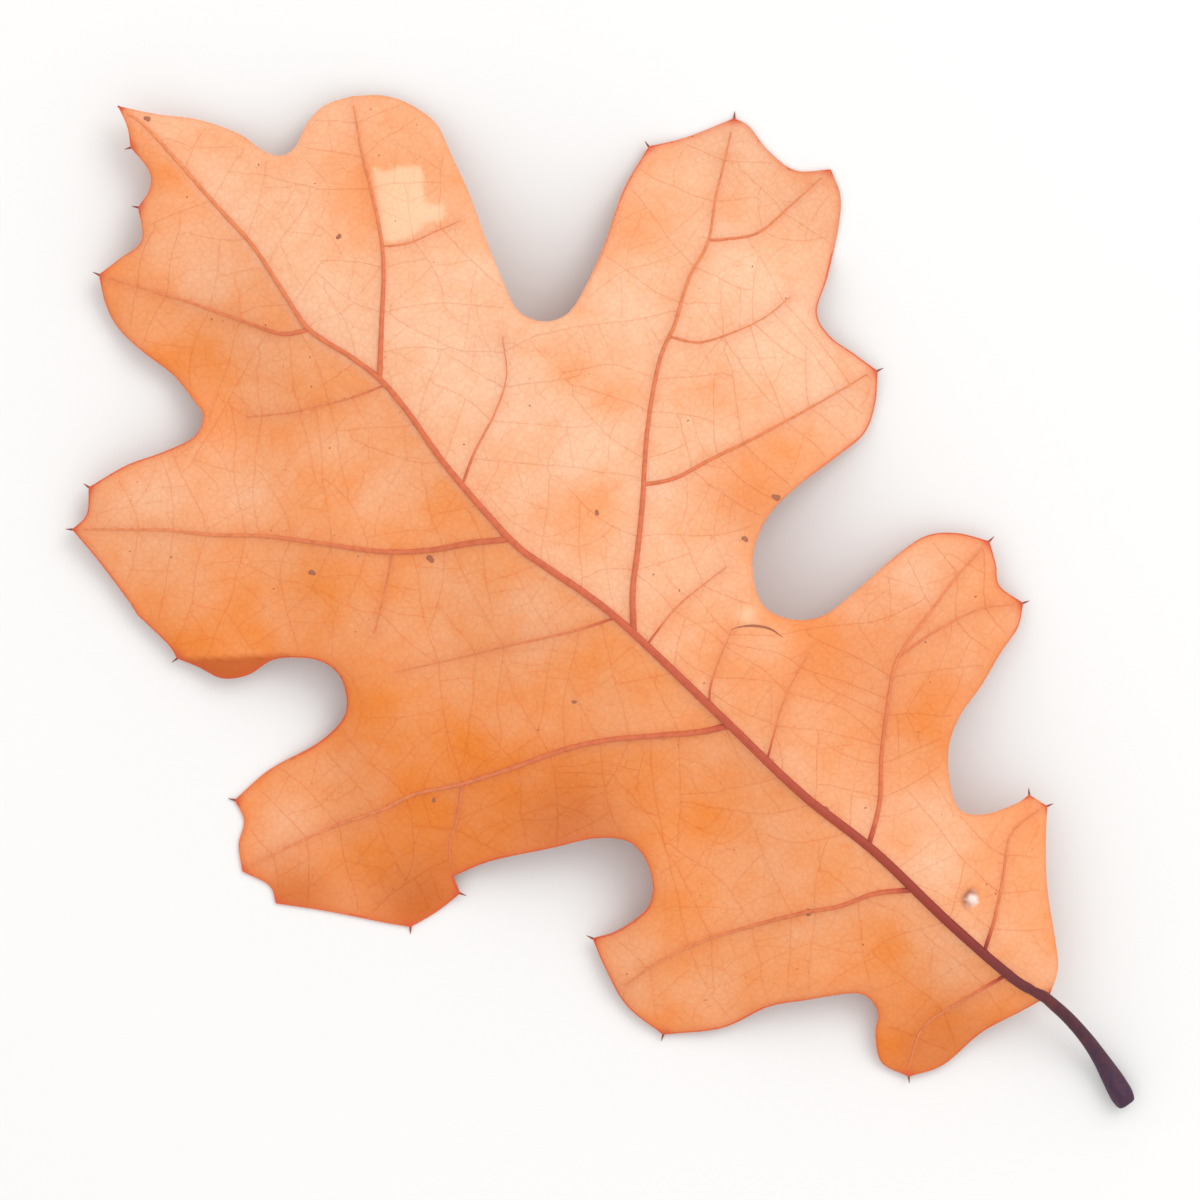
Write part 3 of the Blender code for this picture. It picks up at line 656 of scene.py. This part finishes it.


# Lower side of the blade: matt with a faint bloom, and paler than the upper side. Its fold tone is painted
# shade, and its dry tone also paints the highlight beside the crease.
LOWER_SKIN = blade_material(
    "matt_lower_skin", pale="#F8CCA8", deep="#F48C30", blotch="#F4863C", dry="#FFD6AE", rib_tone="#D8683A",
    edge_tone="#DC5C38", fold_shade_tone="#C45C1C", glow="#FF9A55", roughness=0.6, gloss=0.28,
)
# Upper side of the blade: smoother, a little waxy, in full autumn orange. Its fold tone is painted shade.
UPPER_SKIN = blade_material(
    "waxy_upper_skin", pale="#FFB450", deep="#F6801C", blotch="#E86C1C", dry="#F6BC7C", rib_tone="#CC5428",
    edge_tone="#C44822", fold_shade_tone="#D06A1C", glow="#FF9C3C", roughness=0.42, gloss=0.5,
)


def rib_material(name, fibre_dark, tones):
    """Rib and stalk skin: smooth woody fibre, with a grain of about 0.7 mm that is coarser than the real
    one, so that it shows. The attribute along runs from 0 at the stalk's foot to 1 at the tip, and tones
    are the colours that are reached at shares of that way."""
    material, tree = new_material(name)
    place = add(tree, "ShaderNodeTexCoord").outputs["Object"]
    along = add(tree, "ShaderNodeAttribute", attribute_name="along").outputs["Fac"]
    colour = linear(tones[0][1])
    for (low, _), (high, code) in zip(tones, tones[1:]):
        share = add(tree, "ShaderNodeMapRange", {"Value": along, "From Min": low, "From Max": high})
        blend = {0: share.outputs["Result"], MIX_A: colour, MIX_B: linear(code)}
        colour = add(tree, "ShaderNodeMix", blend, data_type="RGBA").outputs[MIX_OUT]
    fibre = add(tree, "ShaderNodeTexNoise", {"Vector": place, "Scale": 1 / (0.7 * MM), "Detail": 4.0})
    values = (fibre.outputs["Fac"], 0.4, 0.7, 0.0, 0.25)
    mottle = add(tree, "ShaderNodeMapRange", dict(zip(RANGE_INPUTS, values)))
    blend = {0: mottle.outputs["Result"], MIX_A: colour, MIX_B: linear(fibre_dark)}
    colour = add(tree, "ShaderNodeMix", blend, data_type="RGBA").outputs[MIX_OUT]
    surface, _ = skin(tree, colour, fibre.outputs["Fac"], 0.6, 0.08, 0.55, 0.35)
    add(tree, "ShaderNodeOutputMaterial", {"Surface": surface})
    return material


# Woody skin of the stalk and ribs: near black violet at the foot, red brown in the blade, thinning to orange.
RIB_SKIN = rib_material(
    "woody_rib_skin", "#7A2E1E",
    [(0.02, "#33203A"), (0.1, "#431C28"), (0.2, "#8E2E22"), (0.36, "#B04A30"), (0.5, "#C65C3C"),
     (0.75, "#D26E44"), (1, "#E48C58")],
)


def plain_material(name, code, dark, roughness):
    """Thin dry tissue of one colour, mottled towards a darker one at a few millimetres."""
    material, tree = new_material(name)
    place = add(tree, "ShaderNodeTexCoord").outputs["Object"]
    cloud = add(tree, "ShaderNodeTexNoise", {"Vector": place, "Scale": 1 / (2.5 * MM), "Detail": 3.0})
    blend = {0: cloud.outputs["Fac"], MIX_A: linear(code), MIX_B: linear(dark)}
    colour = add(tree, "ShaderNodeMix", blend, data_type="RGBA").outputs[MIX_OUT]
    grain = add(tree, "ShaderNodeTexNoise", {"Vector": place, "Scale": 1 / (0.3 * MM)})
    surface, _ = skin(tree, colour, grain.outputs["Fac"], 0.3, 0.03, roughness)
    add(tree, "ShaderNodeOutputMaterial", {"Surface": surface})
    return material


# The dead dry points of the teeth: horny and brown.
BRISTLE_HORN = plain_material("bristle_horn", "#9A4E34", "#6A3226", 0.5)
# Dead tissue of the fungus specks: dull, dark and crusted. It also draws the crease's dark lip, which is
# partly dead tissue and partly painted shadow in the fold.
DEAD_TISSUE_AND_CREASE_SHADE = plain_material("dead_tissue_and_crease_shade", "#B4704C", "#8C5240", 0.85)


WHOLE_HULL, WITHIN_EDGES = 0, 1


def triangulate(points, edges, kind):
    """Corners and triangles of the Delaunay triangulation of plan points that keeps the given edges, over
    their whole hull or only within the edges."""
    made = delaunay_2d_cdt([Vector(p) for p in points.tolist()], edges, [], kind, SAME_POINT)
    return np.array([tuple(p) for p in made[0]]), np.array(made[2])


def edges_of(triangles):
    """The three edges of each triangle, and a number for each that is the same in both directions."""
    edges = np.concatenate([triangles[:, [0, 1]], triangles[:, [1, 2]], triangles[:, [2, 0]]])
    return edges, np.sort(edges, axis=1) @ np.array([triangles.max() + 1, 1])


def blade_plan():
    """The blade's triangles on the plan: the margin as edges, and an even lattice inside it."""
    lattice = hexagonal(MARGIN_LOOP.min(0), MARGIN_LOOP.max(0), LATTICE_STEP)
    lattice = lattice[inside(lattice, MARGIN_LOOP)]
    lattice = lattice[gap_to(lattice, MARGIN_LOOP) > CLEAR_OF_EDGE]
    at = np.arange(len(MARGIN_LOOP))
    edges = np.column_stack([at, np.roll(at, -1)]).tolist()
    plan, triangles = triangulate(np.concatenate([MARGIN_LOOP, lattice]), edges, WITHIN_EDGES)
    a, b, c = (plan[triangles[:, i]] for i in range(3))
    turned = (b[:, 0] - a[:, 0]) * (c[:, 1] - a[:, 1]) < (b[:, 1] - a[:, 1]) * (c[:, 0] - a[:, 0])
    triangles[turned] = triangles[turned, ::-1]
    return plan, triangles


def outer_edges(triangles):
    """The edges that only one triangle has, each in the direction that its triangle gives it."""
    edges, key = edges_of(triangles)
    _, first, count = np.unique(key, return_index=True, return_counts=True)
    return edges[first[count == 1]]


def smooth_step(value, low, high):
    """0 at low and 1 at high, with a smooth rise between."""
    t = np.clip((value - low) / (high - low), 0, 1)
    return t * t * (3 - 2 * t)


def near_spot(plan, x, y, radius):
    """1 at a spot of the plan, falling to nothing over about twice the radius."""
    return np.exp(-((plan / UNIT - (x, y)) ** 2).sum(1) / radius**2)


def skin_paint(plan, rib_gap, edge_gap, tint=0):
    """The paint of the skin at plan points, each a share from 0 to 1: warm is from pale to deep orange,
    partly the leaf's own tone and partly painted shade, patch the dry pale patch and the painted highlight
    beside the crease, bare the worm's white window and scorch the dark rim on its side towards the end tooth,
    fold painted shade on the folded edge and on the shaded spots, and rib and edge the tones beside ribs and
    margin, with the edge's extra red on the left half painted shade."""
    side, end = plan.T / UNIT
    spine = np.array(RIBS["midrib"][2])
    left = smooth_step(side - np.interp(end, spine[:, 1], spine[:, 0]), 0.6, -1.6)
    low_right = (1 - left) * smooth_step(end, 62, 50)
    spots = np.array(TONE_AND_SHADE_SPOTS)
    gaps = ((plan[:, None] / UNIT - spots[:, :2]) ** 2).sum(2)
    # The left half, which slopes away from the light, is deeper: partly the leaf's own orange and partly
    # painted shade.
    warm_and_shade = (
        0.2
        + 0.46 * left
        + 0.26 * low_right
        + np.exp(-gaps / spots[:, 2] ** 2) @ spots[:, 3]
        + 0.08 * ripple(plan, 24 * UNIT, 31)
        + 0.05 * ripple(plan, 8 * UNIT, 37)
        + 0.1 * np.exp(-edge_gap / (2.5 * UNIT))
    )
    painted_shade = sum(share * near_spot(plan, x, y, radius) for x, y, radius, share in PAINTED_SHADES)
    patch_loop = smooth_line(np.array(DRY_PATCH + DRY_PATCH[:1]) * UNIT, MARGIN_STEP)
    patch_gap = gap_to(plan, patch_loop) * np.where(inside(plan, patch_loop[:-1]), 1, -1)
    tip_gap = gap_to(plan, TOOTH_TIPS) / UNIT
    window_gap = np.linalg.norm(plan - np.array(WINDOW) * UNIT, axis=1) / UNIT - WINDOW_RADIUS
    rim = np.exp(-((window_gap / 0.35) ** 2)) * smooth_step((plan / UNIT - WINDOW) @ (-0.3, 0.95), -0.7, 0.4)
    # The margin is redder towards the lobe tips and on the left half. The left half's share is painted shade,
    # because that half slopes away from the light.
    red = np.clip(0.2 + 0.8 * smooth_step(np.abs(side), 17, 34) + 0.5 * left, 0, 1)
    red = red * (1 - 0.85 * near_spot(plan, *LIT_MARGIN))
    edge = red * (0.4 * np.exp(-((edge_gap / (0.45 * UNIT)) ** 2)) + 0.14 * np.exp(-edge_gap / (1.6 * UNIT)))
    return {
        "warm_and_shade": np.clip(warm_and_shade, 0, 0.9),
        # The second share is a painted highlight beside the crease.
        "patch": 0.75 * smooth_step(patch_gap / UNIT, -0.2, 0.5) + 0.7 * near_spot(plan, *CREASE_HIGHLIGHT),
        "bare": 0.95 * smooth_step(window_gap, 0.05, -0.3),
        # Painted shade of the folded edge and of the shaded spots.
        "fold": np.clip(0.85 * smooth_step(past_fold(plan) / UNIT, 0, 0.7) + painted_shade, 0, 1),
        "rib": np.clip(0.3 * np.exp(-rib_gap / (0.8 * UNIT)) + tint, 0, 1),
        "edge": np.clip(edge + 0.75 * np.exp(-((tip_gap / 0.8) ** 2)), 0, 1),
        "window_rim": 0.9 * rim,
    }


def make_blade():
    """The blade: one sheet of triangles, its face above and its face below, joined round the margin."""
    plan, triangles = blade_plan()
    underside, shown, rib_gap, edge_gap = blade_form(plan)
    count = len(plan)
    points = np.concatenate([placed(plan, underside), placed(plan, shown)])
    rim = outer_edges(triangles)
    rim_quads = np.column_stack([rim, rim[:, ::-1] + count])
    faces = triangles[:, ::-1].tolist() + (triangles + count).tolist() + rim_quads.tolist()
    side = np.zeros(len(faces), np.int32)
    side[: len(triangles)] = 1
    paint = skin_paint(plan, rib_gap, edge_gap)
    below = dict(paint, rib=paint["rib"] + 0.36 * np.exp(-((rib_gap / (0.5 * UNIT)) ** 2)))
    paint = {key: np.concatenate([below[key], values]) for key, values in paint.items()}
    make_piece("leaf_blade", points, faces, [LOWER_SKIN, UPPER_SKIN], paint, side)


def rib_route(lines, half, crest, keel=-0.14 * MM):
    """Middle points and radii of ribs: ellipses from keel under the blade, or inside it where that is
    negative, to crest over it, at least a little over their own fillet. half and crest go along the lines."""
    underside, shown, _, _ = blade_form(lines)
    top = shown + np.maximum(crest - FILLET_SHARE * half, LEAST_CREST)
    bottom = np.maximum(underside - keel, 0.01 * MM)
    return placed(lines, (top + bottom) / 2), half, (top - bottom) / 2


def make_midrib():
    """The stalk from its swollen foot, carried on as the midrib to the end tooth, as one tapered round bar.
    The foot shrank as it dried, so its radius is wrinkled round the bar."""
    half, crest, _ = RIBS["midrib"]
    line = RIB_LINES["midrib"][4:]
    share = np.linspace(1, END_SHARE, len(line))
    keel = np.interp(line[:, 1] / UNIT, [0, 14, 36, 40], [0.4, 0.2, 0.06, -0.14]) * MM
    middle, side_radius, up_radius = rib_route(line, half * MM * share, crest * MM * share, keel)
    stalk = smooth_line([(*np.array(spot) * UNIT, radius * MM) for spot, radius in STALK], 0.3 * UNIT)
    route = np.concatenate([placed(stalk[:, :2], stalk[:, 2]), middle])
    side_radius = np.concatenate([stalk[:, 3], side_radius])
    up_radius = np.concatenate([stalk[:, 3], up_radius])
    reach = 7
    weights = np.hanning(2 * reach + 1)
    weights /= weights.sum()
    start = len(stalk) // 2
    for values in (route[:, 2], side_radius, up_radius):
        padded = np.pad(values, reach, mode="edge")
        values[start:] = np.convolve(padded, weights, mode="valid")[start:]
    last = np.arange(len(route)) == len(route) - 1
    sides = 18
    points = tubes(route, last, side_radius, up_radius, sides).reshape(len(route), sides, 3)
    angle = np.linspace(0, 2 * np.pi, sides, endpoint=False)
    foot = smooth_step(np.arange(len(route)) / len(stalk), 0.75, 0.1)[:, None]
    wrinkle = np.sin(4 * angle + 0.05 * np.arange(len(route))[:, None]) + 0.5 * np.sin(7 * angle + 1)
    swell = 1 + foot * (0.05 * wrinkle - 0.06)
    points = (route[:, None] + (points - route[:, None]) * swell[..., None]).reshape(-1, 3)
    make_rings("midrib_and_stalk", points, last, sides, RIB_SKIN, {"along": np.linspace(0, 1, len(route))})


def make_side_ribs():
    """The side ribs: tapered round bars half sunk in the blade. Each starts inside the rib that it leaves,
    and is as dark as the midrib where it leaves that."""
    names = [name for name in RIBS if name != "midrib"]
    lines, last = ends_of([RIB_LINES[name] for name in names])
    counts = [len(RIB_LINES[name]) for name in names]
    share = np.concatenate([np.linspace(1, END_SHARE, count) for count in counts])
    half, crest = (np.repeat([RIBS[name][part] for name in names], counts) for part in (0, 1))
    starts = np.array([RIB_LINES[name][0] for name in names])
    away = np.linalg.norm(lines - np.repeat(starts, counts, axis=0), axis=1) / MM
    crest = crest * share * smooth_step(away, -0.4, 1)
    middle, side_radius, up_radius = rib_route(lines, half * share * MM, crest * MM)
    along = 1 - half * (share - END_SHARE) / (1 - END_SHARE)
    gap, at = nearest(starts, RIB_LINES["midrib"])
    parent = np.repeat(0.1 + 0.9 * at / len(RIB_LINES["midrib"]), counts)
    blend = 0.8 * smooth_step(away, 4, 0.5) * np.repeat(gap[:, 0] < 1.5 * UNIT, counts)
    along = along + blend * (parent - along)
    sides = 8
    points = tubes(middle, last, side_radius, up_radius, sides)
    make_rings("side_ribs", points, last, sides, RIB_SKIN, {"along": along})


RIDGE_FEET = 0.06 * MM  # how deep the feet of a ridge are sunk in the blade


def make_ridges(name, lines, half, rise, tint):
    """Low three sided ridges along lines on the face above: two feet sunk a little into the blade, half
    millimetres to each side, and a crest that stands rise millimetres over it. They have the blade's skin,
    tinted a little as ribs are."""
    plan, last = ends_of(lines)
    across = right_of(headings_of(plan, last)) * half * MM
    _, shown, rib_gap, edge_gap = blade_form(plan)
    sunk = shown - RIDGE_FEET
    corners = [placed(plan + across, sunk), placed(plan, shown + rise * MM), placed(plan - across, sunk)]
    points = np.stack(corners, axis=1).reshape(-1, 3)
    make_rings(name, points, last, 3, LOWER_SKIN, skin_paint(plan, rib_gap, edge_gap, tint))


GROW_STEP = 0.8 * UNIT
MOST_STEPS = 40
WANDER = 0.07  # how much the heading of a vein changes by chance at each step, in radians
MEETS_OLD = 0.55 * UNIT
MEETS_NEW = 0.7 * UNIT
STOPS_SHORT = 0.6 * UNIT  # how far from the margin a vein ends
FEWEST_POINTS = 6
CORNER = 2.2 * UNIT


def grow(starts, headings, curl, draw, laid):
    """Routes of veins that grow at once from starts, each in its heading, which turns by its curl and a
    little at random at each step. One ends where it meets a rib, a laid or a new vein, or the margin."""
    spots, alive = starts, np.ones(len(starts), bool)
    routes, lives = [starts], [alive]
    own = np.arange(len(starts))[:, None]
    for step in range(MOST_STEPS):
        headings = headings + curl + draw.normal(0, WANDER, len(starts))
        ahead = spots + GROW_STEP * np.stack([np.cos(headings), np.sin(headings)], axis=1)
        old = np.concatenate([RIB_POINTS, laid])
        old_gap, old_at = nearest(ahead, old)
        meets_old = (old_gap[:, 0] < MEETS_OLD) & (step > 2)
        new = np.concatenate([route[live] for route, live in zip(routes, lives)])
        owner = np.concatenate([np.flatnonzero(live) for live in lives])
        new_gaps = np.where(owner == own, np.inf, np.linalg.norm(ahead[:, None] - new, axis=2))
        meets_new = (new_gaps.min(1) < MEETS_NEW) & ~meets_old
        ahead[meets_old] = old[old_at[meets_old]]
        ahead[meets_new] = new[new_gaps.argmin(1)[meets_new]]
        outside = ~inside(ahead, MARGIN_LOOP) | (gap_to(ahead, MARGIN_LOOP) < STOPS_SHORT)
        routes.append(ahead)
        lives.append(alive & ~outside)
        alive = alive & ~(outside | meets_old | meets_new)
        spots = ahead
        if not alive.any():
            break
    lives = np.stack(lives, axis=1)
    lengths = np.where(lives.all(1), lives.shape[1], lives.argmin(1))
    routes = np.stack(routes, axis=1)
    return [smooth_line(route[:n], 0.4 * UNIT) for route, n in zip(routes, lengths) if n >= FEWEST_POINTS]


def branch(lines, others, spacing, low_angle, high_angle, draw):
    """Starts and headings for veins that leave lines on both sides, at about even spacing and at angles to
    the line between the two given in degrees. None starts in the corner of its line and another one."""
    starts, headings = [], []
    for line in lines:
        every = max(3, int(spacing / np.linalg.norm(line[1] - line[0])))
        picks = np.arange(int(draw.uniform(2, every)), len(line) - 2, every)
        picks = np.clip(picks + draw.integers(-2, 3, len(picks)), 1, len(line) - 2)
        rest = np.concatenate([other for other in others if other is not line])
        picks = picks[gap_to(line[picks], rest) > CORNER]
        ahead = line[picks + 1] - line[picks - 1]
        angle = np.arctan2(ahead[:, 1], ahead[:, 0])
        for turn in (1, -1):
            starts.append(line[picks])
            headings.append(angle + turn * np.radians(draw.uniform(low_angle, high_angle, len(picks))))
    return np.concatenate(starts), np.concatenate(headings)


def make_cross_veins():
    """The veins that tie one rib to the next, and the finer ones that tie those."""
    draw = np.random.default_rng(17)
    ribs = list(RIB_LINES.values())
    starts, headings = branch(ribs[1:], ribs, 4.6 * UNIT, 66, 86, draw)
    from_midrib = branch(ribs[:1], ribs, 5.2 * UNIT, 50, 66, draw)
    starts, headings = np.concatenate([starts, from_midrib[0]]), np.concatenate([headings, from_midrib[1]])
    cross = grow(starts, headings, draw.normal(0, 0.018, len(starts)), draw, RIB_POINTS[:1])
    starts, headings = branch(cross, ribs, 4 * UNIT, 60, 85, draw)
    ties = grow(starts, headings, draw.normal(0, 0.04, len(starts)), draw, np.concatenate(cross))
    make_ridges("cross_veins", cross, half=0.12, rise=0.065, tint=0.07)
    make_ridges("tie_veins", ties, half=0.09, rise=0.045, tint=0.03)


def make_net_veins():
    """The net of the finest modelled veins: a low ridge along each wall between two cells of CELL_SEEDS,
    from the middle of one triangle of seeds to the middle of the next."""
    seeds, triangles = triangulate(CELL_SEEDS, [], WHOLE_HULL)
    a, b, c = (seeds[triangles[:, i]] for i in range(3))
    (bx, by), (cx, cy) = (b - a).T, (c - a).T
    b2, c2 = bx**2 + by**2, cx**2 + cy**2
    away = np.stack([cy * b2 - by * c2, bx * c2 - cx * b2], axis=1)
    middles = a + away / (2 * (bx * cy - by * cx))[:, None]
    _, key = edges_of(triangles)
    owner = np.tile(np.arange(len(triangles)), 3)
    order = np.argsort(key, kind="stable")
    twin = np.flatnonzero(np.diff(key[order]) == 0)
    ends = np.stack([middles[owner[order[twin]]], middles[owner[order[twin + 1]]]], axis=1)
    length = np.linalg.norm(ends[:, 1] - ends[:, 0], axis=1)
    spots = ends.reshape(-1, 2)
    clear = inside(spots, MARGIN_LOOP) & (gap_to(spots, MARGIN_LOOP) > 0.5 * UNIT)
    ends = ends[(length > 0.15 * UNIT) & (length < 2.5 * MESH_STEP) & clear.reshape(-1, 2).all(1)]
    share = np.linspace(0, 1, 4)[:, None]
    lines = ends[:, :1] * (1 - share) + ends[:, 1:] * share
    lines[:, 1:-1] += np.random.default_rng(29).normal(0, 0.05 * UNIT, lines[:, 1:-1].shape)
    make_ridges("net_veins", list(lines), half=0.075, rise=0.035, tint=0)


CORD_SIDE, CORD_UP = 0.16 * MM, 0.19 * MM  # radii of the margin's cord
CORD_INSET = 0.02 * MM


def make_edge():
    """The horny cord that finishes the margin: a thin round bar that follows it, just inside, in the skin's
    own colours but redder."""
    loose = np.zeros(len(MARGIN_LOOP), bool)
    line = MARGIN_LOOP + right_of(headings_of(MARGIN_LOOP, loose)) * (CORD_SIDE + CORD_INSET)
    underside, shown, rib_gap, edge_gap = blade_form(line)
    points = tubes(placed(line, (underside + shown) / 2), loose, CORD_SIDE, CORD_UP, 6)
    paint = skin_paint(line, rib_gap, edge_gap)
    paint["edge"] = np.clip(1.9 * paint["edge"], 0, 1)
    make_rings("edge_cord", points, loose, 6, LOWER_SKIN, paint)


def make_bristles():
    """A fine bristle on each tooth: a thin cone that starts inside the tooth and stands past its tip, as
    far as the leaf's box lets it."""
    low, high = (np.array(corner)[:2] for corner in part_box("oak_leaf"))
    tips = placed(TOOTH_TIPS, 0 * TOOTH_TIPS[:, 0])[:, :2]
    room = np.where(TOOTH_HEADINGS > 0, high - tips, low - tips) / TOOTH_HEADINGS
    reach = np.clip(room.min(1) - 0.15 * MM, -0.3 * MM, 0.8 * MM)[:, None]
    share = np.linspace(-1, 1, 9)
    past = np.where(share < 0, share * 0.9 * MM, share * np.maximum(reach, 0.1 * MM)) + np.minimum(reach, 0)
    lines = TOOTH_TIPS[:, None] + TOOTH_HEADINGS[:, None] * past[..., None]
    held = TOOTH_TIPS[:, None] + TOOTH_HEADINGS[:, None] * np.minimum(past, 0)[..., None]
    underside, shown, _, _ = blade_form(held.reshape(-1, 2))
    radius = np.tile([0.04, 0.07, 0.1, 0.13, 0.14, 0.12, 0.09, 0.06, 0.03], len(lines)) * MM
    last = np.tile(share == 1, len(lines))
    route = placed(lines.reshape(-1, 2), np.maximum((underside + shown) / 2, radius))
    points = tubes(route, last, radius, radius, 6)
    make_rings("tooth_bristles", points, last, 6, BRISTLE_HORN)


def make_crease():
    """The dry crease beside the right bay: a thin dark lip on the face above, tapered to both ends, partly
    dead tissue and partly painted shadow in the fold.
    """
    line, last = ends_of([smooth_line(np.array(CREASE) * UNIT, 0.3 * UNIT)])
    swell = np.sin(np.linspace(0.15, np.pi - 0.15, len(line)))
    shown = blade_form(line)[1]
    points = tubes(placed(line, shown), last, 0.15 * MM * swell, 0.14 * MM * swell, 8)
    make_rings("crease_shadow_lip", points, last, 8, DEAD_TISSUE_AND_CREASE_SHADE)


def make_specks():
    """Fungus specks: flat domes with an uneven outline, scattered at random besides those named."""
    draw = np.random.default_rng(41)
    scattered = draw.uniform(MARGIN_LOOP.min(0), MARGIN_LOOP.max(0), (200, 2))
    scattered = scattered[inside(scattered, MARGIN_LOOP)]
    scattered = scattered[gap_to(scattered, MARGIN_LOOP) > 1.5 * UNIT]
    small = np.column_stack([scattered / UNIT, draw.uniform(0.06, 0.13, len(scattered))])
    x, y, radius = (column[:, None] for column in np.concatenate([np.array(SPECKS), small]).T)
    sides = 12
    angle = -np.linspace(0, 2 * np.pi, sides, endpoint=False)
    uneven = radius * (1 + 0.25 * np.sin(2 * angle + 3 * x) + 0.12 * np.sin(3 * angle + 2 * y))
    wide, high = np.array([(1.0, -0.1), (0.8, 0.1), (0.4, 0.16)]).T[:, None, :, None]
    rings = [
        spot[:, :, None] + (uneven * turn)[:, None] * wide
        for spot, turn in ((x, np.cos(angle)), (y, np.sin(angle)))
    ]
    plan = np.stack(rings, axis=3).reshape(-1, 2) * UNIT
    over = np.broadcast_to(high * radius[:, :, None], rings[0].shape).ravel() * UNIT
    last = np.tile([False, False, True], len(x))
    points = placed(plan, blade_form(plan)[1] + over)
    make_rings("fungus_specks", points, last, sides, DEAD_TISSUE_AND_CREASE_SHADE)


def make_floor():
    """A matt white board."""
    material, tree = new_material("white_board")
    surface = add(tree, "ShaderNodeBsdfPrincipled", {"Base Color": linear("#E7E6E5"), "Roughness": 0.9})
    add(tree, "ShaderNodeOutputMaterial", {"Surface": surface.outputs[0]})
    bpy.ops.mesh.primitive_plane_add(size=6, location=(0, 0, -0.03 * MM))
    floor = bpy.context.active_object
    floor.name = "floor"
    floor.data.materials.append(material)


def make_lights():
    """A broad window high on the picture's upper right, and an even pale sky."""
    window = bpy.data.lights.new("window", "AREA")
    window.shape = "DISK"
    window.size = 0.7
    window.energy = 3.65
    window.color = (1.0, 0.985, 0.965)
    towards = np.append((PICTURE_RIGHT + PICTURE_UP) / np.sqrt(2), 0) * 0.75 + (0, 0, 0.85)
    lamp = bpy.data.objects.new("window", window)
    lamp.location = towards
    lamp.rotation_euler = Vector(towards).to_track_quat("Z", "Y").to_euler()
    bpy.context.scene.collection.objects.link(lamp)
    world = bpy.data.worlds.new("studio")
    world.use_nodes = True
    sky = world.node_tree.nodes["Background"].inputs
    sky["Color"].default_value = (1, 1, 1, 1)
    sky["Strength"].default_value = 1.06
    bpy.context.scene.world = world
    bpy.context.scene.view_settings.view_transform = "Standard"


VIEW_ROOM = 1.14  # how much wider the view is than the leaf


def make_camera():
    """A long lens straight above the leaf, turned as the photograph is, with the leaf filling the view."""
    outline = np.concatenate([MARGIN_LOOP, np.array([spot[:2] for spot, _ in STALK]) * UNIT])
    outline = placed(outline, np.zeros(len(outline)))[:, :2]
    spread = [outline @ PICTURE_RIGHT, outline @ PICTURE_UP]
    middle = sum((s.max() + s.min()) / 2 * axis for s, axis in zip(spread, (PICTURE_RIGHT, PICTURE_UP)))
    width = max(np.ptp(s) for s in spread) * VIEW_ROOM
    camera = bpy.data.cameras.new("camera")
    camera.lens = 200
    camera.sensor_width = 36
    seen = bpy.data.objects.new("camera", camera)
    seen.location = (*middle, width * camera.lens / camera.sensor_width)
    seen.rotation_euler = (0, 0, np.arctan2(PICTURE_RIGHT[1], PICTURE_RIGHT[0]))
    bpy.context.scene.collection.objects.link(seen)
    bpy.context.scene.camera = seen


make_blade()
make_midrib()
make_side_ribs()
make_cross_veins()
make_net_veins()
make_edge()
make_bristles()
make_crease()
make_specks()
make_floor()
make_lights()
make_camera()
